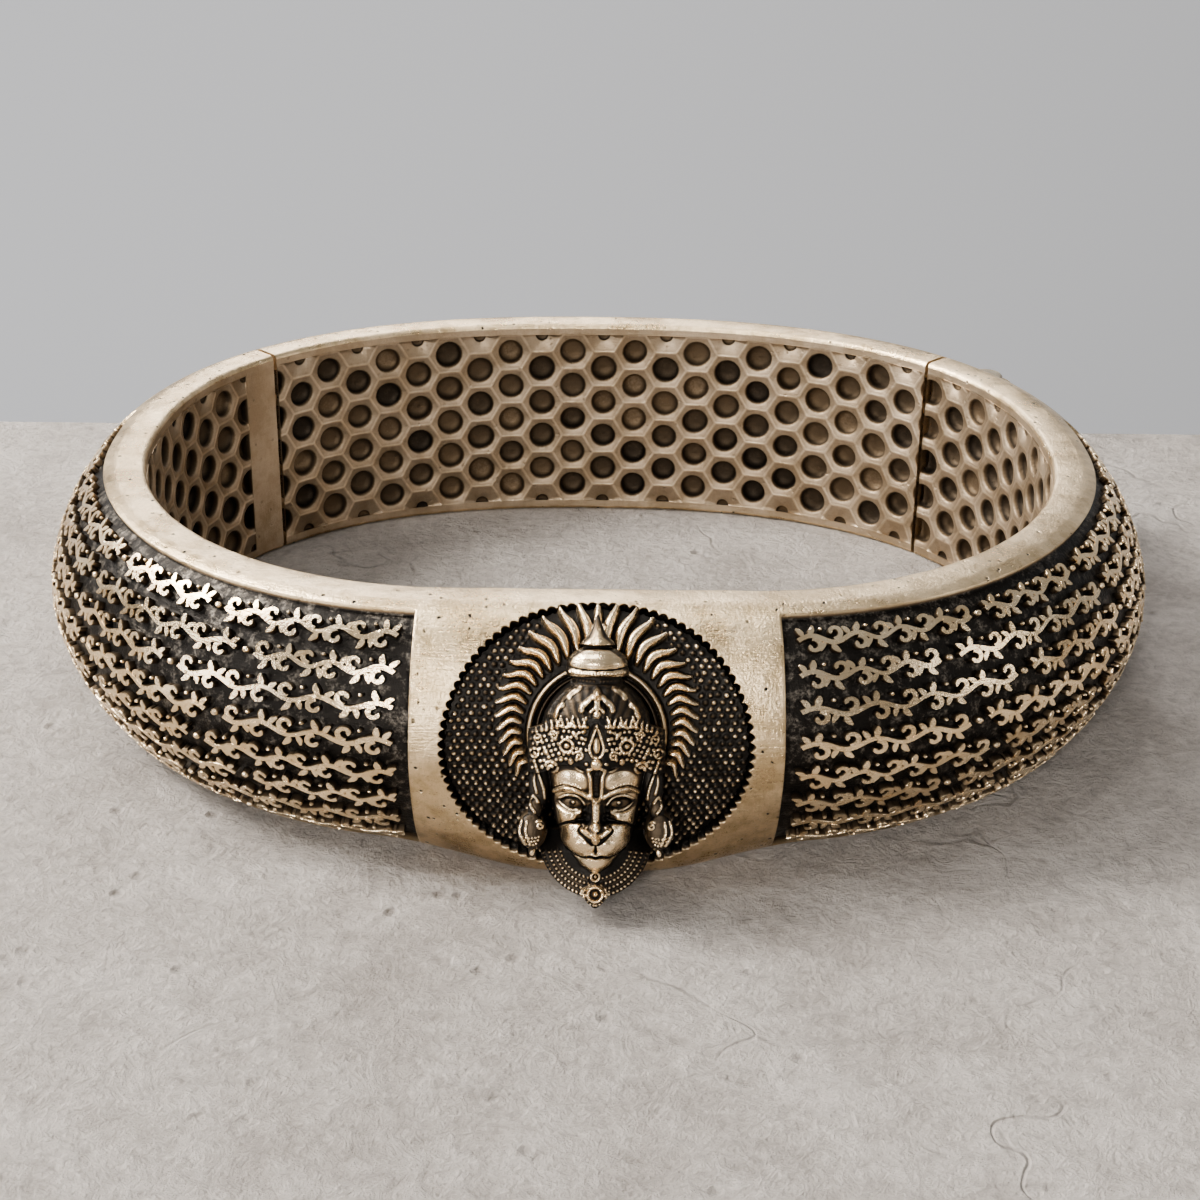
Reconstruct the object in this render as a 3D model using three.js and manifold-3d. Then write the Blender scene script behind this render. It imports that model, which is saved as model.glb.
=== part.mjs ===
// Oval hinged kada, a wide brass wrist bangle. Millimetres, +Z up.
// The front of the bangle faces -Y, its flat lower rim rests on z = 0 and the origin is under the
// middle of its outline. The band is two arcs: a long front arc and a short back arc that swings
// open on a hinge. A crowned guardian head on a round medallion is seated in the front arc, and two
// sunk panels beside it carry rows of raised scroll ornament.

import * as THREE from 'three';
import { mergeVertices } from 'three/addons/utils/BufferGeometryUtils.js';
import Module from 'manifold-3d';

const wasm = await Module();
wasm.setup();

// Inner wall, seen from above: a straight front stretch and superelliptic quarters
const innerHalfWidth = 31;
const innerFrontDepth = 23.1;
const innerBackDepth = 25.9;
const straightFrontHalf = 8.9;
const frontFullness = 2.0;
const backFullness = 2.38;

// Wall section: a flat rim at top and bottom and a domed outside
const bandHeight = 16.2;
const rimWidth = 1.9;
const rimChamfer = 0.35;
const domeRise = 5.0;
const domeFullness = 1.64;
const liftSpread = THREE.MathUtils.degToRad(60);

// Fuller foot under the front centre: how far it comes forward, where it starts to fade and ends
const footSwell = 3.4;
const footSwellHalf = 2.5;
const footSwellEnd = 13;
const footSwellPower = 1.5;

// Clearances
const fitGap = 0.3;
const seamGap = 0.3;

// Where the band is split: arc lengths on the inner wall from the front centre
const hingeSeamArc = 63.4;
const claspSeamArc = 63.4;

// Hinge
const hingeAxisOffset = 7.7;
const knuckleRadius = 2.2;
const hingeBottom = 3.5;
const hingeTop = 12.7;
const leafLength = 4.6;
const leafRoot = 4.4;
const pinRadius = 0.75;
const pinHeadRadius = 1.3;
const pinHeadHeight = 0.5;

// Clasp tongue, plain, across the other seam
const tongueOffset = 3.5;
const tongueInFront = 2.1;
const tongueInBack = 2.5;
const tongueThickness = 1.2;
const tongueHeight = 5.0;

// Sunk ornament panels, one on each side of the plain front field
const panelStart = 10.4;
const panelEnd = 50.4;
const panelHalfHeight = 9.1;
const panelDepth = 0.5;
const rowCount = 8;
const rowPitch = 2.12;
const stemHeight = 0.36;
const reliefEmbed = 0.35;
const reliefBelowDome = 0.06;
const sprayLengths = [9.4, 7.0, 11.2, 8.2];
const sprayGap = 1.1;
const budRadius = 0.45;
const budOffset = 0.6;
const budPitch = 7;

// Medallion that carries the head
const medallionRadius = 8.8;
const medallionRise = 0.85;
const medallionThickness = 1.0;
const groundDepth = 0.45;

// Flame rays round the head, as shares of the medallion radius
const rayCount = 19;
const rayInner = 0.52;
const rayOuterSide = 0.68;
const rayOuterTop = 0.98;
const raySpread = THREE.MathUtils.degToRad(104);
const rayWidth = 0.6;
const rayWave = 0.28;
const rayRise = 0.75;
const rayCentreDrop = 0.9;

// Head, with reaches out from the crest of the dome
const faceHalfWidth = 2.95;
const faceHalfHeight = 4.0;
const faceDepth = 3.6;
const faceReach = 3.55;
const noseReach = 4.4;
const muzzleHalfWidth = 1.9;
const crownHalfWidth = 1.9;
const crownLean = THREE.MathUtils.degToRad(-50);
const tiaraHalfWidth = 3.8;
const tiaraWire = 0.75;
const haloRadius = 4.3;
const haloWire = 0.38;
const haloRise = 0.7;
const haloLift = 0.6;
const haloSpread = THREE.MathUtils.degToRad(100);
const earringSpread = 3.55;
const collarWire = 0.62;

// Faceting
const pathStep = 2.5;
const domeSteps = 12;

const brass = { color: '#b9a27a', roughness: 0.34, metalness: 1 };
const agedBrass = { color: '#a08a66', roughness: 0.42, metalness: 1 };
const pinBrass = { color: '#8d7a5c', roughness: 0.4, metalness: 1 };

// The finished outline reaches further at the front, so the plan is shifted back by half of that
const domeReach = rimWidth + domeRise;
const planShift = (innerFrontDepth + noseReach - innerBackDepth) / 2;

// Dense samples of the closed inner wall, with running arc length from the front centre
const plan = samplePlan();

function samplePlan() {
  const quarter = 600;
  const right = [new THREE.Vector2(0, -innerFrontDepth)];
  for (let i = 0; i <= quarter; i += 1) {
    const turn = (Math.PI / 2) * (i / quarter);
    const across = Math.sin(turn) ** (2 / frontFullness);
    const along = Math.cos(turn) ** (2 / frontFullness);
    const x = straightFrontHalf + (innerHalfWidth - straightFrontHalf) * across;
    right.push(new THREE.Vector2(x, -innerFrontDepth * along));
  }
  for (let i = quarter - 1; i >= 0; i -= 1) {
    const turn = (Math.PI / 2) * (i / quarter);
    const across = Math.sin(turn) ** (2 / backFullness);
    const along = Math.cos(turn) ** (2 / backFullness);
    right.push(new THREE.Vector2(innerHalfWidth * across, innerBackDepth * along));
  }
  const left = right.slice(1, -1).reverse().map((p) => new THREE.Vector2(-p.x, p.y));
  const points = [...right, ...left, right[0].clone()];
  const arcs = [0];
  for (let i = 1; i < points.length; i += 1) {
    arcs.push(arcs[i - 1] + points[i].distanceTo(points[i - 1]));
  }
  return { points, arcs, length: arcs[arcs.length - 1] };
}

// Place on the inner wall at an arc length, positive towards +X
function planPoint(arc) {
  const wrapped = ((arc % plan.length) + plan.length) % plan.length;
  let low = 0;
  let high = plan.arcs.length - 1;
  while (high - low > 1) {
    const middle = (low + high) >> 1;
    if (plan.arcs[middle] <= wrapped) low = middle;
    else high = middle;
  }
  const share = (wrapped - plan.arcs[low]) / (plan.arcs[high] - plan.arcs[low]);
  return plan.points[low].clone().lerp(plan.points[high], share);
}

function planFrame(arc) {
  const reach = 0.4;
  const point = planPoint(arc);
  const tangent = planPoint(arc + reach).sub(planPoint(arc - reach)).normalize();
  const outward = new THREE.Vector2(tangent.y, -tangent.x);
  return { point, tangent, outward };
}

// Domed outside of the section as points (offset from the inner wall, height), top to bottom
function domePoints(steps) {
  const points = [];
  for (let i = 0; i <= steps; i += 1) {
    const turn = (Math.PI * i) / steps;
    const offset = rimWidth + domeRise * Math.sin(turn) ** (2 / domeFullness);
    const cosine = Math.cos(turn);
    const height = Math.sign(cosine) * Math.abs(cosine) ** (2 / domeFullness);
    points.push(new THREE.Vector2(offset, (bandHeight / 2) * (1 + height)));
  }
  return points;
}

const dome = sampleDome();

function sampleDome() {
  const points = domePoints(400);
  const arcs = [0];
  for (let i = 1; i < points.length; i += 1) {
    arcs.push(arcs[i - 1] + points[i].distanceTo(points[i - 1]));
  }
  return { points, arcs, half: arcs[arcs.length - 1] / 2 };
}

// Point of the dome at a section length v above the equator, lifted outwards by h
function sectionPoint(v, h) {
  const wanted = THREE.MathUtils.clamp(dome.half - v, 0, 2 * dome.half);
  let i = 1;
  while (i < dome.arcs.length - 1 && dome.arcs[i] < wanted) i += 1;
  const share = (wanted - dome.arcs[i - 1]) / (dome.arcs[i] - dome.arcs[i - 1]);
  const point = dome.points[i - 1].clone().lerp(dome.points[i], share);
  const lean = (v / dome.half) * liftSpread;
  return new THREE.Vector2(point.x + h * Math.cos(lean), point.y + h * Math.sin(lean));
}

// Offset of the dome's surface at a height in its upper half
function domeOffset(height) {
  return dome.points.find((point) => point.y <= height).x;
}

// Moves a place on the outside forward where the foot is fuller
function swell(place) {
  const near = 1 - THREE.MathUtils.smoothstep(Math.abs(place.x), footSwellHalf, footSwellEnd);
  const below = Math.max(0, 1 - place.z / (bandHeight / 2)) ** footSwellPower;
  const wall = (-innerFrontDepth - place.y - rimChamfer) / (rimWidth - rimChamfer);
  place.y -= footSwell * near * below * THREE.MathUtils.clamp(wall, 0, 1);
  return place;
}

function bandPoint(arc, v, h) {
  const { point, outward } = planFrame(arc);
  const section = sectionPoint(v, h);
  return swell(new THREE.Vector3(
    point.x + outward.x * section.x,
    point.y + outward.y * section.x,
    section.y,
  ));
}

// Lays a flat geometry on the dome: x runs round the band, y up it and z outwards
function layOnDome(geometry, arc, v) {
  const position = geometry.attributes.position;
  for (let i = 0; i < position.count; i += 1) {
    const p = bandPoint(arc + position.getX(i), v + position.getY(i), position.getZ(i));
    position.setXYZ(i, p.x, p.y, p.z);
  }
  return geometry;
}

class InnerWallPath extends THREE.Curve {
  constructor(from, to) {
    super();
    this.from = from;
    this.to = to;
  }

  getPoint(share, target = new THREE.Vector3()) {
    const point = planPoint(THREE.MathUtils.lerp(this.from, this.to, share));
    return target.set(point.x, point.y, 0);
  }
}

// A closed geometry as a solid for cutting and joining
function solid(geometry) {
  const bare = geometry.clone();
  bare.deleteAttribute('normal');
  bare.deleteAttribute('uv');
  const merged = mergeVertices(bare, 1e-4);
  return new wasm.Manifold(new wasm.Mesh({
    numProp: 3,
    vertProperties: new Float32Array(merged.attributes.position.array),
    triVerts: new Uint32Array(merged.index.array),
  }));
}

function geometryOf(shape) {
  const mesh = shape.getMesh();
  const geometry = new THREE.BufferGeometry();
  geometry.setAttribute('position', new THREE.Float32BufferAttribute(mesh.vertProperties, 3));
  geometry.setIndex(new THREE.Uint32BufferAttribute(mesh.triVerts, 1));
  geometry.computeVertexNormals();
  return geometry;
}

// Closes small hollows that the joined forms trap between them
function withoutHollows(shape) {
  return join(shape.decompose().filter((shell) => shell.volume() > 0));
}

function join(shapes) {
  return shapes.reduce((whole, shape) => whole.add(shape));
}

// One arc of the band with square-cut ends
function bandArc(from, to) {
  const section = new THREE.Shape(
    [
      new THREE.Vector2(0, bandHeight - rimChamfer),
      new THREE.Vector2(rimChamfer, bandHeight),
      ...domePoints(domeSteps),
      new THREE.Vector2(rimChamfer, 0),
      new THREE.Vector2(0, rimChamfer),
    ].map((p) => new THREE.Vector2(-p.y, -p.x)),
  );
  const geometry = new THREE.ExtrudeGeometry(section, {
    steps: Math.ceil((to - from) / pathStep),
    bevelEnabled: false,
    extrudePath: new InnerWallPath(from, to),
  });
  const position = geometry.attributes.position;
  const place = new THREE.Vector3();
  for (let i = 0; i < position.count; i += 1) {
    swell(place.fromBufferAttribute(position, i));
    position.setXYZ(i, place.x, place.y, place.z);
  }
  return solid(geometry);
}

// Hinge: the pin's axis stands on the seam, outside the wall
const hinge = planFrame(hingeSeamArc);
const hingeAxis = hinge.point.clone().addScaledVector(hinge.outward, hingeAxisOffset);
const knuckleLength = (hingeTop - hingeBottom - 2 * fitGap) / 3;
const middleKnuckleBottom = hingeBottom + knuckleLength + fitGap;
const topKnuckleBottom = hingeTop - knuckleLength;

function cylinderOnHinge(radius, bottom, length, sides = 20) {
  const geometry = new THREE.CylinderGeometry(radius, radius, length, sides);
  geometry.rotateX(Math.PI / 2);
  geometry.translate(hingeAxis.x, hingeAxis.y, bottom + length / 2);
  return solid(geometry);
}

// A knuckle with the leaf that carries it; side is -1 towards the front arc and 1 towards the back
function knuckle(bottom, side) {
  const edge = side * (seamGap / 2);
  const tip = side * leafLength;
  const leaf = new THREE.Shape([
    new THREE.Vector2(edge, knuckleRadius),
    new THREE.Vector2(edge, -leafRoot),
    new THREE.Vector2(tip, -leafRoot),
    new THREE.Vector2(tip, domeOffset(hingeTop) - hingeAxisOffset),
  ]);
  const geometry = new THREE.ExtrudeGeometry(leaf, { depth: knuckleLength, bevelEnabled: false });
  const frame = new THREE.Matrix4().makeBasis(
    new THREE.Vector3(hinge.tangent.x, hinge.tangent.y, 0),
    new THREE.Vector3(hinge.outward.x, hinge.outward.y, 0),
    new THREE.Vector3(0, 0, -1),
  );
  geometry.applyMatrix4(frame);
  geometry.translate(hingeAxis.x, hingeAxis.y, bottom + knuckleLength);
  return solid(geometry).add(cylinderOnHinge(knuckleRadius, bottom, knuckleLength));
}

function knuckleClearance(bottom) {
  return cylinderOnHinge(knuckleRadius + fitGap, bottom - fitGap, knuckleLength + 2 * fitGap);
}

function pinBore() {
  return cylinderOnHinge(pinRadius + fitGap, hingeBottom - fitGap, hingeTop - hingeBottom + 2 * fitGap);
}

function hingePin() {
  const headGap = pinHeadHeight + fitGap;
  const shaft = cylinderOnHinge(pinRadius, hingeBottom - headGap, hingeTop - hingeBottom + 2 * headGap, 14);
  const lowerHead = cylinderOnHinge(pinHeadRadius, hingeBottom - headGap, pinHeadHeight, 14);
  const upperHead = cylinderOnHinge(pinHeadRadius, hingeTop + fitGap, pinHeadHeight, 14);
  return join([shaft, lowerHead, upperHead]);
}

// Clasp tongue: it points the way that the back arc's free end swings
function tongueBox(clearance) {
  const seam = planFrame(-claspSeamArc);
  const root = seam.point.clone().addScaledVector(seam.outward, tongueOffset);
  const arm = root.clone().sub(hingeAxis);
  const swing = new THREE.Vector2(arm.y, -arm.x).normalize();
  const length = tongueInFront + tongueInBack + 2 * clearance;
  const geometry = new THREE.BoxGeometry(
    length,
    tongueThickness + 2 * clearance,
    tongueHeight + 2 * clearance,
  );
  geometry.translate((tongueInBack - tongueInFront) / 2, 0, 0);
  geometry.rotateZ(Math.atan2(swing.y, swing.x));
  geometry.translate(root.x, root.y, bandHeight / 2);
  return solid(geometry);
}

// Sunk panel: a slab laid on the dome that is cut out of the band
function panelCut(side) {
  const length = panelEnd - panelStart;
  const above = 2;
  const slab = new THREE.BoxGeometry(
    length,
    2 * panelHalfHeight,
    panelDepth + above,
    Math.ceil(length / pathStep),
    10,
    1,
  );
  slab.translate(0, 0, (above - panelDepth) / 2);
  return solid(layOnDome(slab, side * (panelStart + panelEnd) / 2, 0));
}

// One spray: a raised stem with buds on alternate sides of it
function spray(from, length, v, side) {
  const rise = panelDepth + reliefEmbed - reliefBelowDome;
  const middle = -reliefBelowDome - rise / 2;
  const stem = new THREE.BoxGeometry(length, stemHeight, rise, Math.ceil(length / pathStep), 1, 1);
  stem.translate(0, 0, middle);
  const arc = side * (from + length / 2);
  const shapes = [solid(layOnDome(stem, arc, v))];
  const buds = Math.max(1, Math.floor(length / budPitch));
  for (let i = 0; i < buds; i += 1) {
    const bud = new THREE.CylinderGeometry(budRadius * 0.7, budRadius, rise, 5);
    bud.rotateX(Math.PI / 2);
    bud.translate((i + 0.5 - buds / 2) * budPitch, i % 2 ? budOffset : -budOffset, middle);
    shapes.push(solid(layOnDome(bud, arc, v)));
  }
  return shapes;
}

// Rows of sprays that follow each other along the panel
function panelOrnament(side) {
  const shapes = [];
  for (let row = 0; row < rowCount; row += 1) {
    const v = ((rowCount - 1) / 2 - row) * rowPitch;
    let from = panelStart + sprayGap;
    for (let turn = row; ; turn += 1) {
      const length = sprayLengths[turn % sprayLengths.length];
      if (from + length > panelEnd - sprayGap) break;
      shapes.push(...spray(from, length, v, side));
      from += length + sprayGap;
    }
  }
  return shapes;
}

// Disc laid on the dome, between two heights from the dome's surface
function domeDisc(radius, low, high) {
  const rings = 4;
  const profile = [new THREE.Vector2(0, low)];
  for (let i = 1; i <= rings; i += 1) profile.push(new THREE.Vector2((radius * i) / rings, low));
  for (let i = rings; i >= 1; i -= 1) profile.push(new THREE.Vector2((radius * i) / rings, high));
  profile.push(new THREE.Vector2(0, high));
  const disc = new THREE.LatheGeometry(profile, 32);
  disc.rotateX(Math.PI / 2);
  return solid(layOnDome(disc, 0, medallionRise));
}

// Rays that fan out behind the crown, longest at the top, each a wavy tapered bar
function flameRay(turn) {
  const topShare = Math.cos(turn) ** 2;
  const inner = rayInner * medallionRadius;
  const outer = THREE.MathUtils.lerp(rayOuterSide, rayOuterTop, topShare) * medallionRadius;
  const segments = 3;
  const height = rayRise + reliefEmbed;
  const ray = new THREE.BoxGeometry(rayWidth, outer - inner, height, 1, segments, 1);
  const position = ray.attributes.position;
  for (let i = 0; i < position.count; i += 1) {
    const share = position.getY(i) / (outer - inner) + 0.5;
    const wave = rayWave * Math.sin(share * 2 * Math.PI) * Math.sign(turn || 1);
    position.setX(i, position.getX(i) * THREE.MathUtils.lerp(1.15, 0.3, share) + wave);
    position.setY(i, position.getY(i) + (outer + inner) / 2);
  }
  ray.translate(0, 0, -groundDepth - reliefEmbed + height / 2);
  ray.rotateZ(-turn);
  ray.translate(0, -rayCentreDrop, 0);
  return solid(layOnDome(ray, 0, medallionRise));
}

// Point of the head: reach is out from the dome's crest, height is from the band's middle
function headPoint(x, reach, height) {
  return new THREE.Vector3(x, -(innerFrontDepth + domeReach + reach), bandHeight / 2 + height);
}

function ellipsoid({ x = 0, reach, height, size, sides = 8 }) {
  const geometry = new THREE.SphereGeometry(1, sides, Math.round(sides * 0.6));
  geometry.rotateX(Math.PI / 2);
  geometry.scale(...size);
  const centre = headPoint(x, reach, height);
  geometry.translate(centre.x, centre.y, centre.z);
  return solid(geometry);
}

function pair(form) {
  return [ellipsoid(form), ellipsoid({ ...form, x: -form.x })];
}

// A wire of round section through points given as (x, reach, height)
function wire(points, radius, steps) {
  const section = new THREE.Shape().absarc(0, 0, radius, 0, 2 * Math.PI);
  return solid(new THREE.ExtrudeGeometry(section, {
    steps,
    curveSegments: 3,
    bevelEnabled: false,
    extrudePath: new THREE.CatmullRomCurve3(points),
  }));
}

// Both halves of a bow from its middle point outwards, as one list from left to right
function bow(middle, ...rest) {
  const left = rest.map(([x, reach, height]) => headPoint(-x, reach, height)).reverse();
  return [...left, headPoint(...middle), ...rest.map((point) => headPoint(...point))];
}

function turned(profile, { x = 0, reach, height, lean = 0, sides, flatness = 1 }) {
  const geometry = new THREE.LatheGeometry(profile.map(([r, h]) => new THREE.Vector2(r, h)), sides);
  geometry.scale(1, 1, flatness);
  geometry.rotateX(Math.PI / 2 + lean);
  const base = headPoint(x, reach, height);
  geometry.translate(base.x, base.y, base.z);
  return solid(geometry);
}

// Halo wire behind the crown
function halo() {
  const points = [];
  const steps = 14;
  for (let i = 0; i <= steps; i += 1) {
    const turn = THREE.MathUtils.lerp(-haloSpread, haloSpread, i / steps);
    points.push(bandPoint(
      haloRadius * Math.sin(turn),
      medallionRise + haloLift + haloRadius * Math.cos(turn),
      haloRise,
    ));
  }
  return wire(points, haloWire, 14);
}

// Tall crown: finial and dome cap leaning back along the band, over a tiara with rosettes
function crown() {
  const cap = [
    [0, -3.4],
    [crownHalfWidth * 1.25, -3.2],
    [crownHalfWidth * 1.1, -1.4],
    [crownHalfWidth * 0.8, -0.4],
    [crownHalfWidth, 0],
    [crownHalfWidth, 0.6],
    [crownHalfWidth * 0.75, 1.2],
    [crownHalfWidth * 0.4, 1.6],
    [0, 3.0],
  ];
  const tiara = bow(
    [0, 2.9, 2.5],
    [tiaraHalfWidth * 0.55, 2.4, 2.4],
    [tiaraHalfWidth, 1.2, 1.9],
  );
  return [
    turned(cap, { reach: -0.6, height: 5.6, lean: crownLean, sides: 13, flatness: 0.6 }),
    wire(tiara, tiaraWire, 10),
    ellipsoid({ reach: 1.4, height: 2.7, size: [3.4, 1.4, 1.6], sides: 10 }),
    ...pair({ x: 2.6, reach: 2.3, height: 3.1, size: [0.8, 0.6, 0.8] }),
    ellipsoid({ reach: 2.1, height: 4.2, size: [0.9, 0.9, 1.3] }),
    ellipsoid({ reach: 3.4, height: 2.2, size: [0.6, 0.5, 0.6] }),
  ];
}

// Broad animal face: skull, neck, wide muzzle, nose, eyes, brows, cheeks and ears
function face() {
  const skull = [faceHalfWidth, faceDepth, faceHalfHeight];
  return [
    ellipsoid({ reach: faceReach - faceDepth, height: -1.2, size: skull, sides: 12 }),
    ellipsoid({ reach: 0.2, height: -4.8, size: [2.9, 3.4, 2.3], sides: 10 }),
    ellipsoid({ reach: noseReach - 2.2, height: -3.1, size: [muzzleHalfWidth, 1.9, 1.5], sides: 10 }),
    ellipsoid({ reach: noseReach - 0.55, height: -2.4, size: [0.85, 0.55, 0.6] }),
    ...pair({ x: 1.4, reach: faceReach - 0.95, height: -0.7, size: [0.75, 0.6, 0.5] }),
    ...pair({ x: 1.5, reach: faceReach - 0.8, height: 0.1, size: [1.2, 0.55, 0.35] }),
    ...pair({ x: 2.2, reach: 2.0, height: -2.1, size: [0.9, 0.9, 1.0] }),
    ...pair({ x: 3.25, reach: 1.1, height: -0.8, size: [0.65, 1.2, 1.2] }),
  ];
}

// Bell earrings, collar and its pendant
function jewels() {
  const bell = [
    [0, -1.0],
    [0.85, -0.9],
    [0.62, 0.1],
    [0.35, 0.8],
    [0, 1.4],
  ];
  const collar = bow([0, 3.6, -5.8], [1.7, 3.0, -5.5], [3.2, 1.0, -4.6]);
  return [
    turned(bell, { x: earringSpread, reach: 1.5, height: -2.8, sides: 10 }),
    turned(bell, { x: -earringSpread, reach: 1.5, height: -2.8, sides: 10 }),
    ...pair({ x: earringSpread, reach: 1.5, height: -4.4, size: [0.42, 0.42, 0.75] }),
    wire(collar, collarWire, 12),
    ellipsoid({ reach: 3.7, height: -6.2, size: [0.95, 0.6, 0.95], sides: 10 }),
    ellipsoid({ reach: 3.95, height: -6.85, size: [0.4, 0.35, 0.6] }),
  ];
}

// The band under the head with its clearance, open where the medallion lies
function bandUnderHead() {
  const reach = medallionRadius + pathStep;
  const tall = 2 * noseReach;
  const skin = new THREE.BoxGeometry(2 * reach, 2 * dome.half, fitGap + groundDepth, 8, 12, 1);
  skin.translate(0, 0, (fitGap - groundDepth) / 2);
  const body = bandArc(-reach, reach).add(solid(layOnDome(skin, 0, 0)));
  return body.subtract(domeDisc(medallionRadius, -groundDepth - medallionThickness, tall));
}

function guardianHead() {
  const disc = domeDisc(medallionRadius, -groundDepth - medallionThickness, -groundDepth);
  const rays = [];
  for (let i = 0; i < rayCount; i += 1) {
    rays.push(flameRay(THREE.MathUtils.lerp(-raySpread, raySpread, i / (rayCount - 1))));
  }
  const relief = join([...rays, halo(), ...crown(), ...face(), ...jewels()]);
  return withoutHollows(disc.add(relief.subtract(bandUnderHead())));
}

function medallionSeat() {
  const above = 2;
  const floor = -groundDepth - medallionThickness - fitGap;
  return domeDisc(medallionRadius + fitGap, floor, above);
}

function frontBand() {
  const arc = bandArc(-(claspSeamArc - seamGap / 2), hingeSeamArc - seamGap / 2);
  const panelled = arc.subtract(panelCut(1)).subtract(panelCut(-1)).subtract(medallionSeat());
  const raised = join([panelled, ...panelOrnament(1), ...panelOrnament(-1)]);
  const withKnuckles = join([raised, knuckle(hingeBottom, -1), knuckle(topKnuckleBottom, -1)]);
  return withKnuckles
    .subtract(knuckleClearance(middleKnuckleBottom))
    .subtract(pinBore())
    .subtract(tongueBox(fitGap));
}

function backBand() {
  const arc = bandArc(hingeSeamArc + seamGap / 2, plan.length - claspSeamArc - seamGap / 2);
  return arc
    .subtract(knuckleClearance(hingeBottom))
    .subtract(knuckleClearance(topKnuckleBottom))
    .add(knuckle(middleKnuckleBottom, 1))
    .subtract(pinBore())
    .subtract(tongueBox(fitGap));
}

const kada = new THREE.Group();

function addPiece(name, shape, finish) {
  const mesh = new THREE.Mesh(geometryOf(shape), new THREE.MeshStandardMaterial(finish));
  mesh.name = name;
  mesh.position.y = planShift;
  kada.add(mesh);
}

addPiece('front_band', frontBand(), brass);
addPiece('back_band', backBand(), brass);
addPiece('guardian_head', guardianHead(), agedBrass);
addPiece('hinge_pin', hingePin(), pinBrass);
addPiece('clasp_tongue', tongueBox(0), pinBrass);

export default kada;
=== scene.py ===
"""Looks of the hinged oval kada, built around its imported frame.

Lengths are millimetres in the band's own plan, where x = 0 and y = 0 is the middle that the
inner wall is drawn from. They become metres, with the plan shifted back, when a mesh is made.
"""
import itertools
import logging
import math
from dataclasses import dataclass, field
from enum import Enum
from functools import cached_property
from typing import Callable, Sequence

import bpy
import numpy as np
from mathutils import Euler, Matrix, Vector


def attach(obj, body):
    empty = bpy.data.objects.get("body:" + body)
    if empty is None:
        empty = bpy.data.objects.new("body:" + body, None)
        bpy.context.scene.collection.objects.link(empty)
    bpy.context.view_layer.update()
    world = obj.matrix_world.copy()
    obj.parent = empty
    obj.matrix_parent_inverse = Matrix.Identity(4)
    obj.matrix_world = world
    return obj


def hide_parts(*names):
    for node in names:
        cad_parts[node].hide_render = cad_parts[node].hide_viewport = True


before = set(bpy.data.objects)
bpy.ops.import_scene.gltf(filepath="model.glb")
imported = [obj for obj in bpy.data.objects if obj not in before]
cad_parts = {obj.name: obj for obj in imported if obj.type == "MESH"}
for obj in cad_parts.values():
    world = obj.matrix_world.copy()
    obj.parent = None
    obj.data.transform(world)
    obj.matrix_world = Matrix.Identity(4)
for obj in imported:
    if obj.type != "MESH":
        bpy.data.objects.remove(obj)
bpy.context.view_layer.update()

log = logging.getLogger("kada")

Array = np.ndarray
Triple = tuple[float, float, float]
Colour = Triple

MILLIMETRE = 0.001
BAND_HEIGHT = 16.2
RIM_WIDTH = 1.9
RIM_CHAMFER = 0.35
DOME_RISE = 5.0
NOSE_REACH = 4.4
FIT_GAP = 0.3
SEAM_GAP = 0.3
SEAM_ARC = 63.4
MEDALLION_RADIUS = 8.8
MEDALLION_RISE = 0.85
GROUND_DEPTH = 0.45
SCALLOPS = 92
BARE_STRIP = 2.9
TILT = math.radians(24)
FULL_TURN = 2 * math.pi
LEAST_AREA = 1e-7
TINY = 1e-9


def smooth_step(low: float, high: float, value: Array) -> Array:
    """Return 0 below low, 1 above high and a smooth rise between them."""
    share = np.clip((value - low) / (high - low), 0.0, 1.0)
    return share * share * (3.0 - 2.0 * share)


@dataclass
class Plan:
    """Inner wall seen from above, by arc length from the front centre, positive towards +X."""

    half_width: float = 31.0
    front_depth: float = 23.1
    back_depth: float = 25.9
    straight_half: float = 8.9
    front_fullness: float = 2.0
    back_fullness: float = 2.38
    quarter_samples: int = 1500

    @cached_property
    def outline(self) -> tuple[Array, Array]:
        """Return the closed outline's points and their arc lengths."""
        turn = np.linspace(0.0, math.pi / 2, self.quarter_samples)
        front = np.stack([
            self.straight_half
            + (self.half_width - self.straight_half) * np.sin(turn) ** (2 / self.front_fullness),
            -self.front_depth * np.cos(turn) ** (2 / self.front_fullness),
        ], -1)
        back = np.stack([
            self.half_width * np.sin(turn) ** (2 / self.back_fullness),
            self.back_depth * np.cos(turn) ** (2 / self.back_fullness),
        ], -1)[::-1]
        right = np.vstack([[[0.0, -self.front_depth]], front, back[1:]])
        left = right[-2:0:-1] * (-1, 1)
        points = np.vstack([right, left, right[:1]])
        steps = np.hypot(*np.diff(points, axis=0).T)
        return points, np.concatenate([[0.0], np.cumsum(steps)])

    @property
    def length(self) -> float:
        """Return the whole length round the inner wall."""
        return float(self.outline[1][-1])

    def point(self, arc: Array) -> Array:
        """Return the places on the inner wall at arc lengths."""
        points, arcs = self.outline
        wrapped = np.mod(arc, arcs[-1])
        return np.stack([np.interp(wrapped, arcs, points[:, i]) for i in (0, 1)], -1)

    def outward(self, arc: Array) -> Array:
        """Return the unit directions out of the wall at arc lengths."""
        reach = 0.4
        along = self.point(np.asarray(arc) + reach) - self.point(np.asarray(arc) - reach)
        along /= np.linalg.norm(along, axis=-1, keepdims=True)
        return np.stack([along[..., 1], -along[..., 0]], -1)


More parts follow.
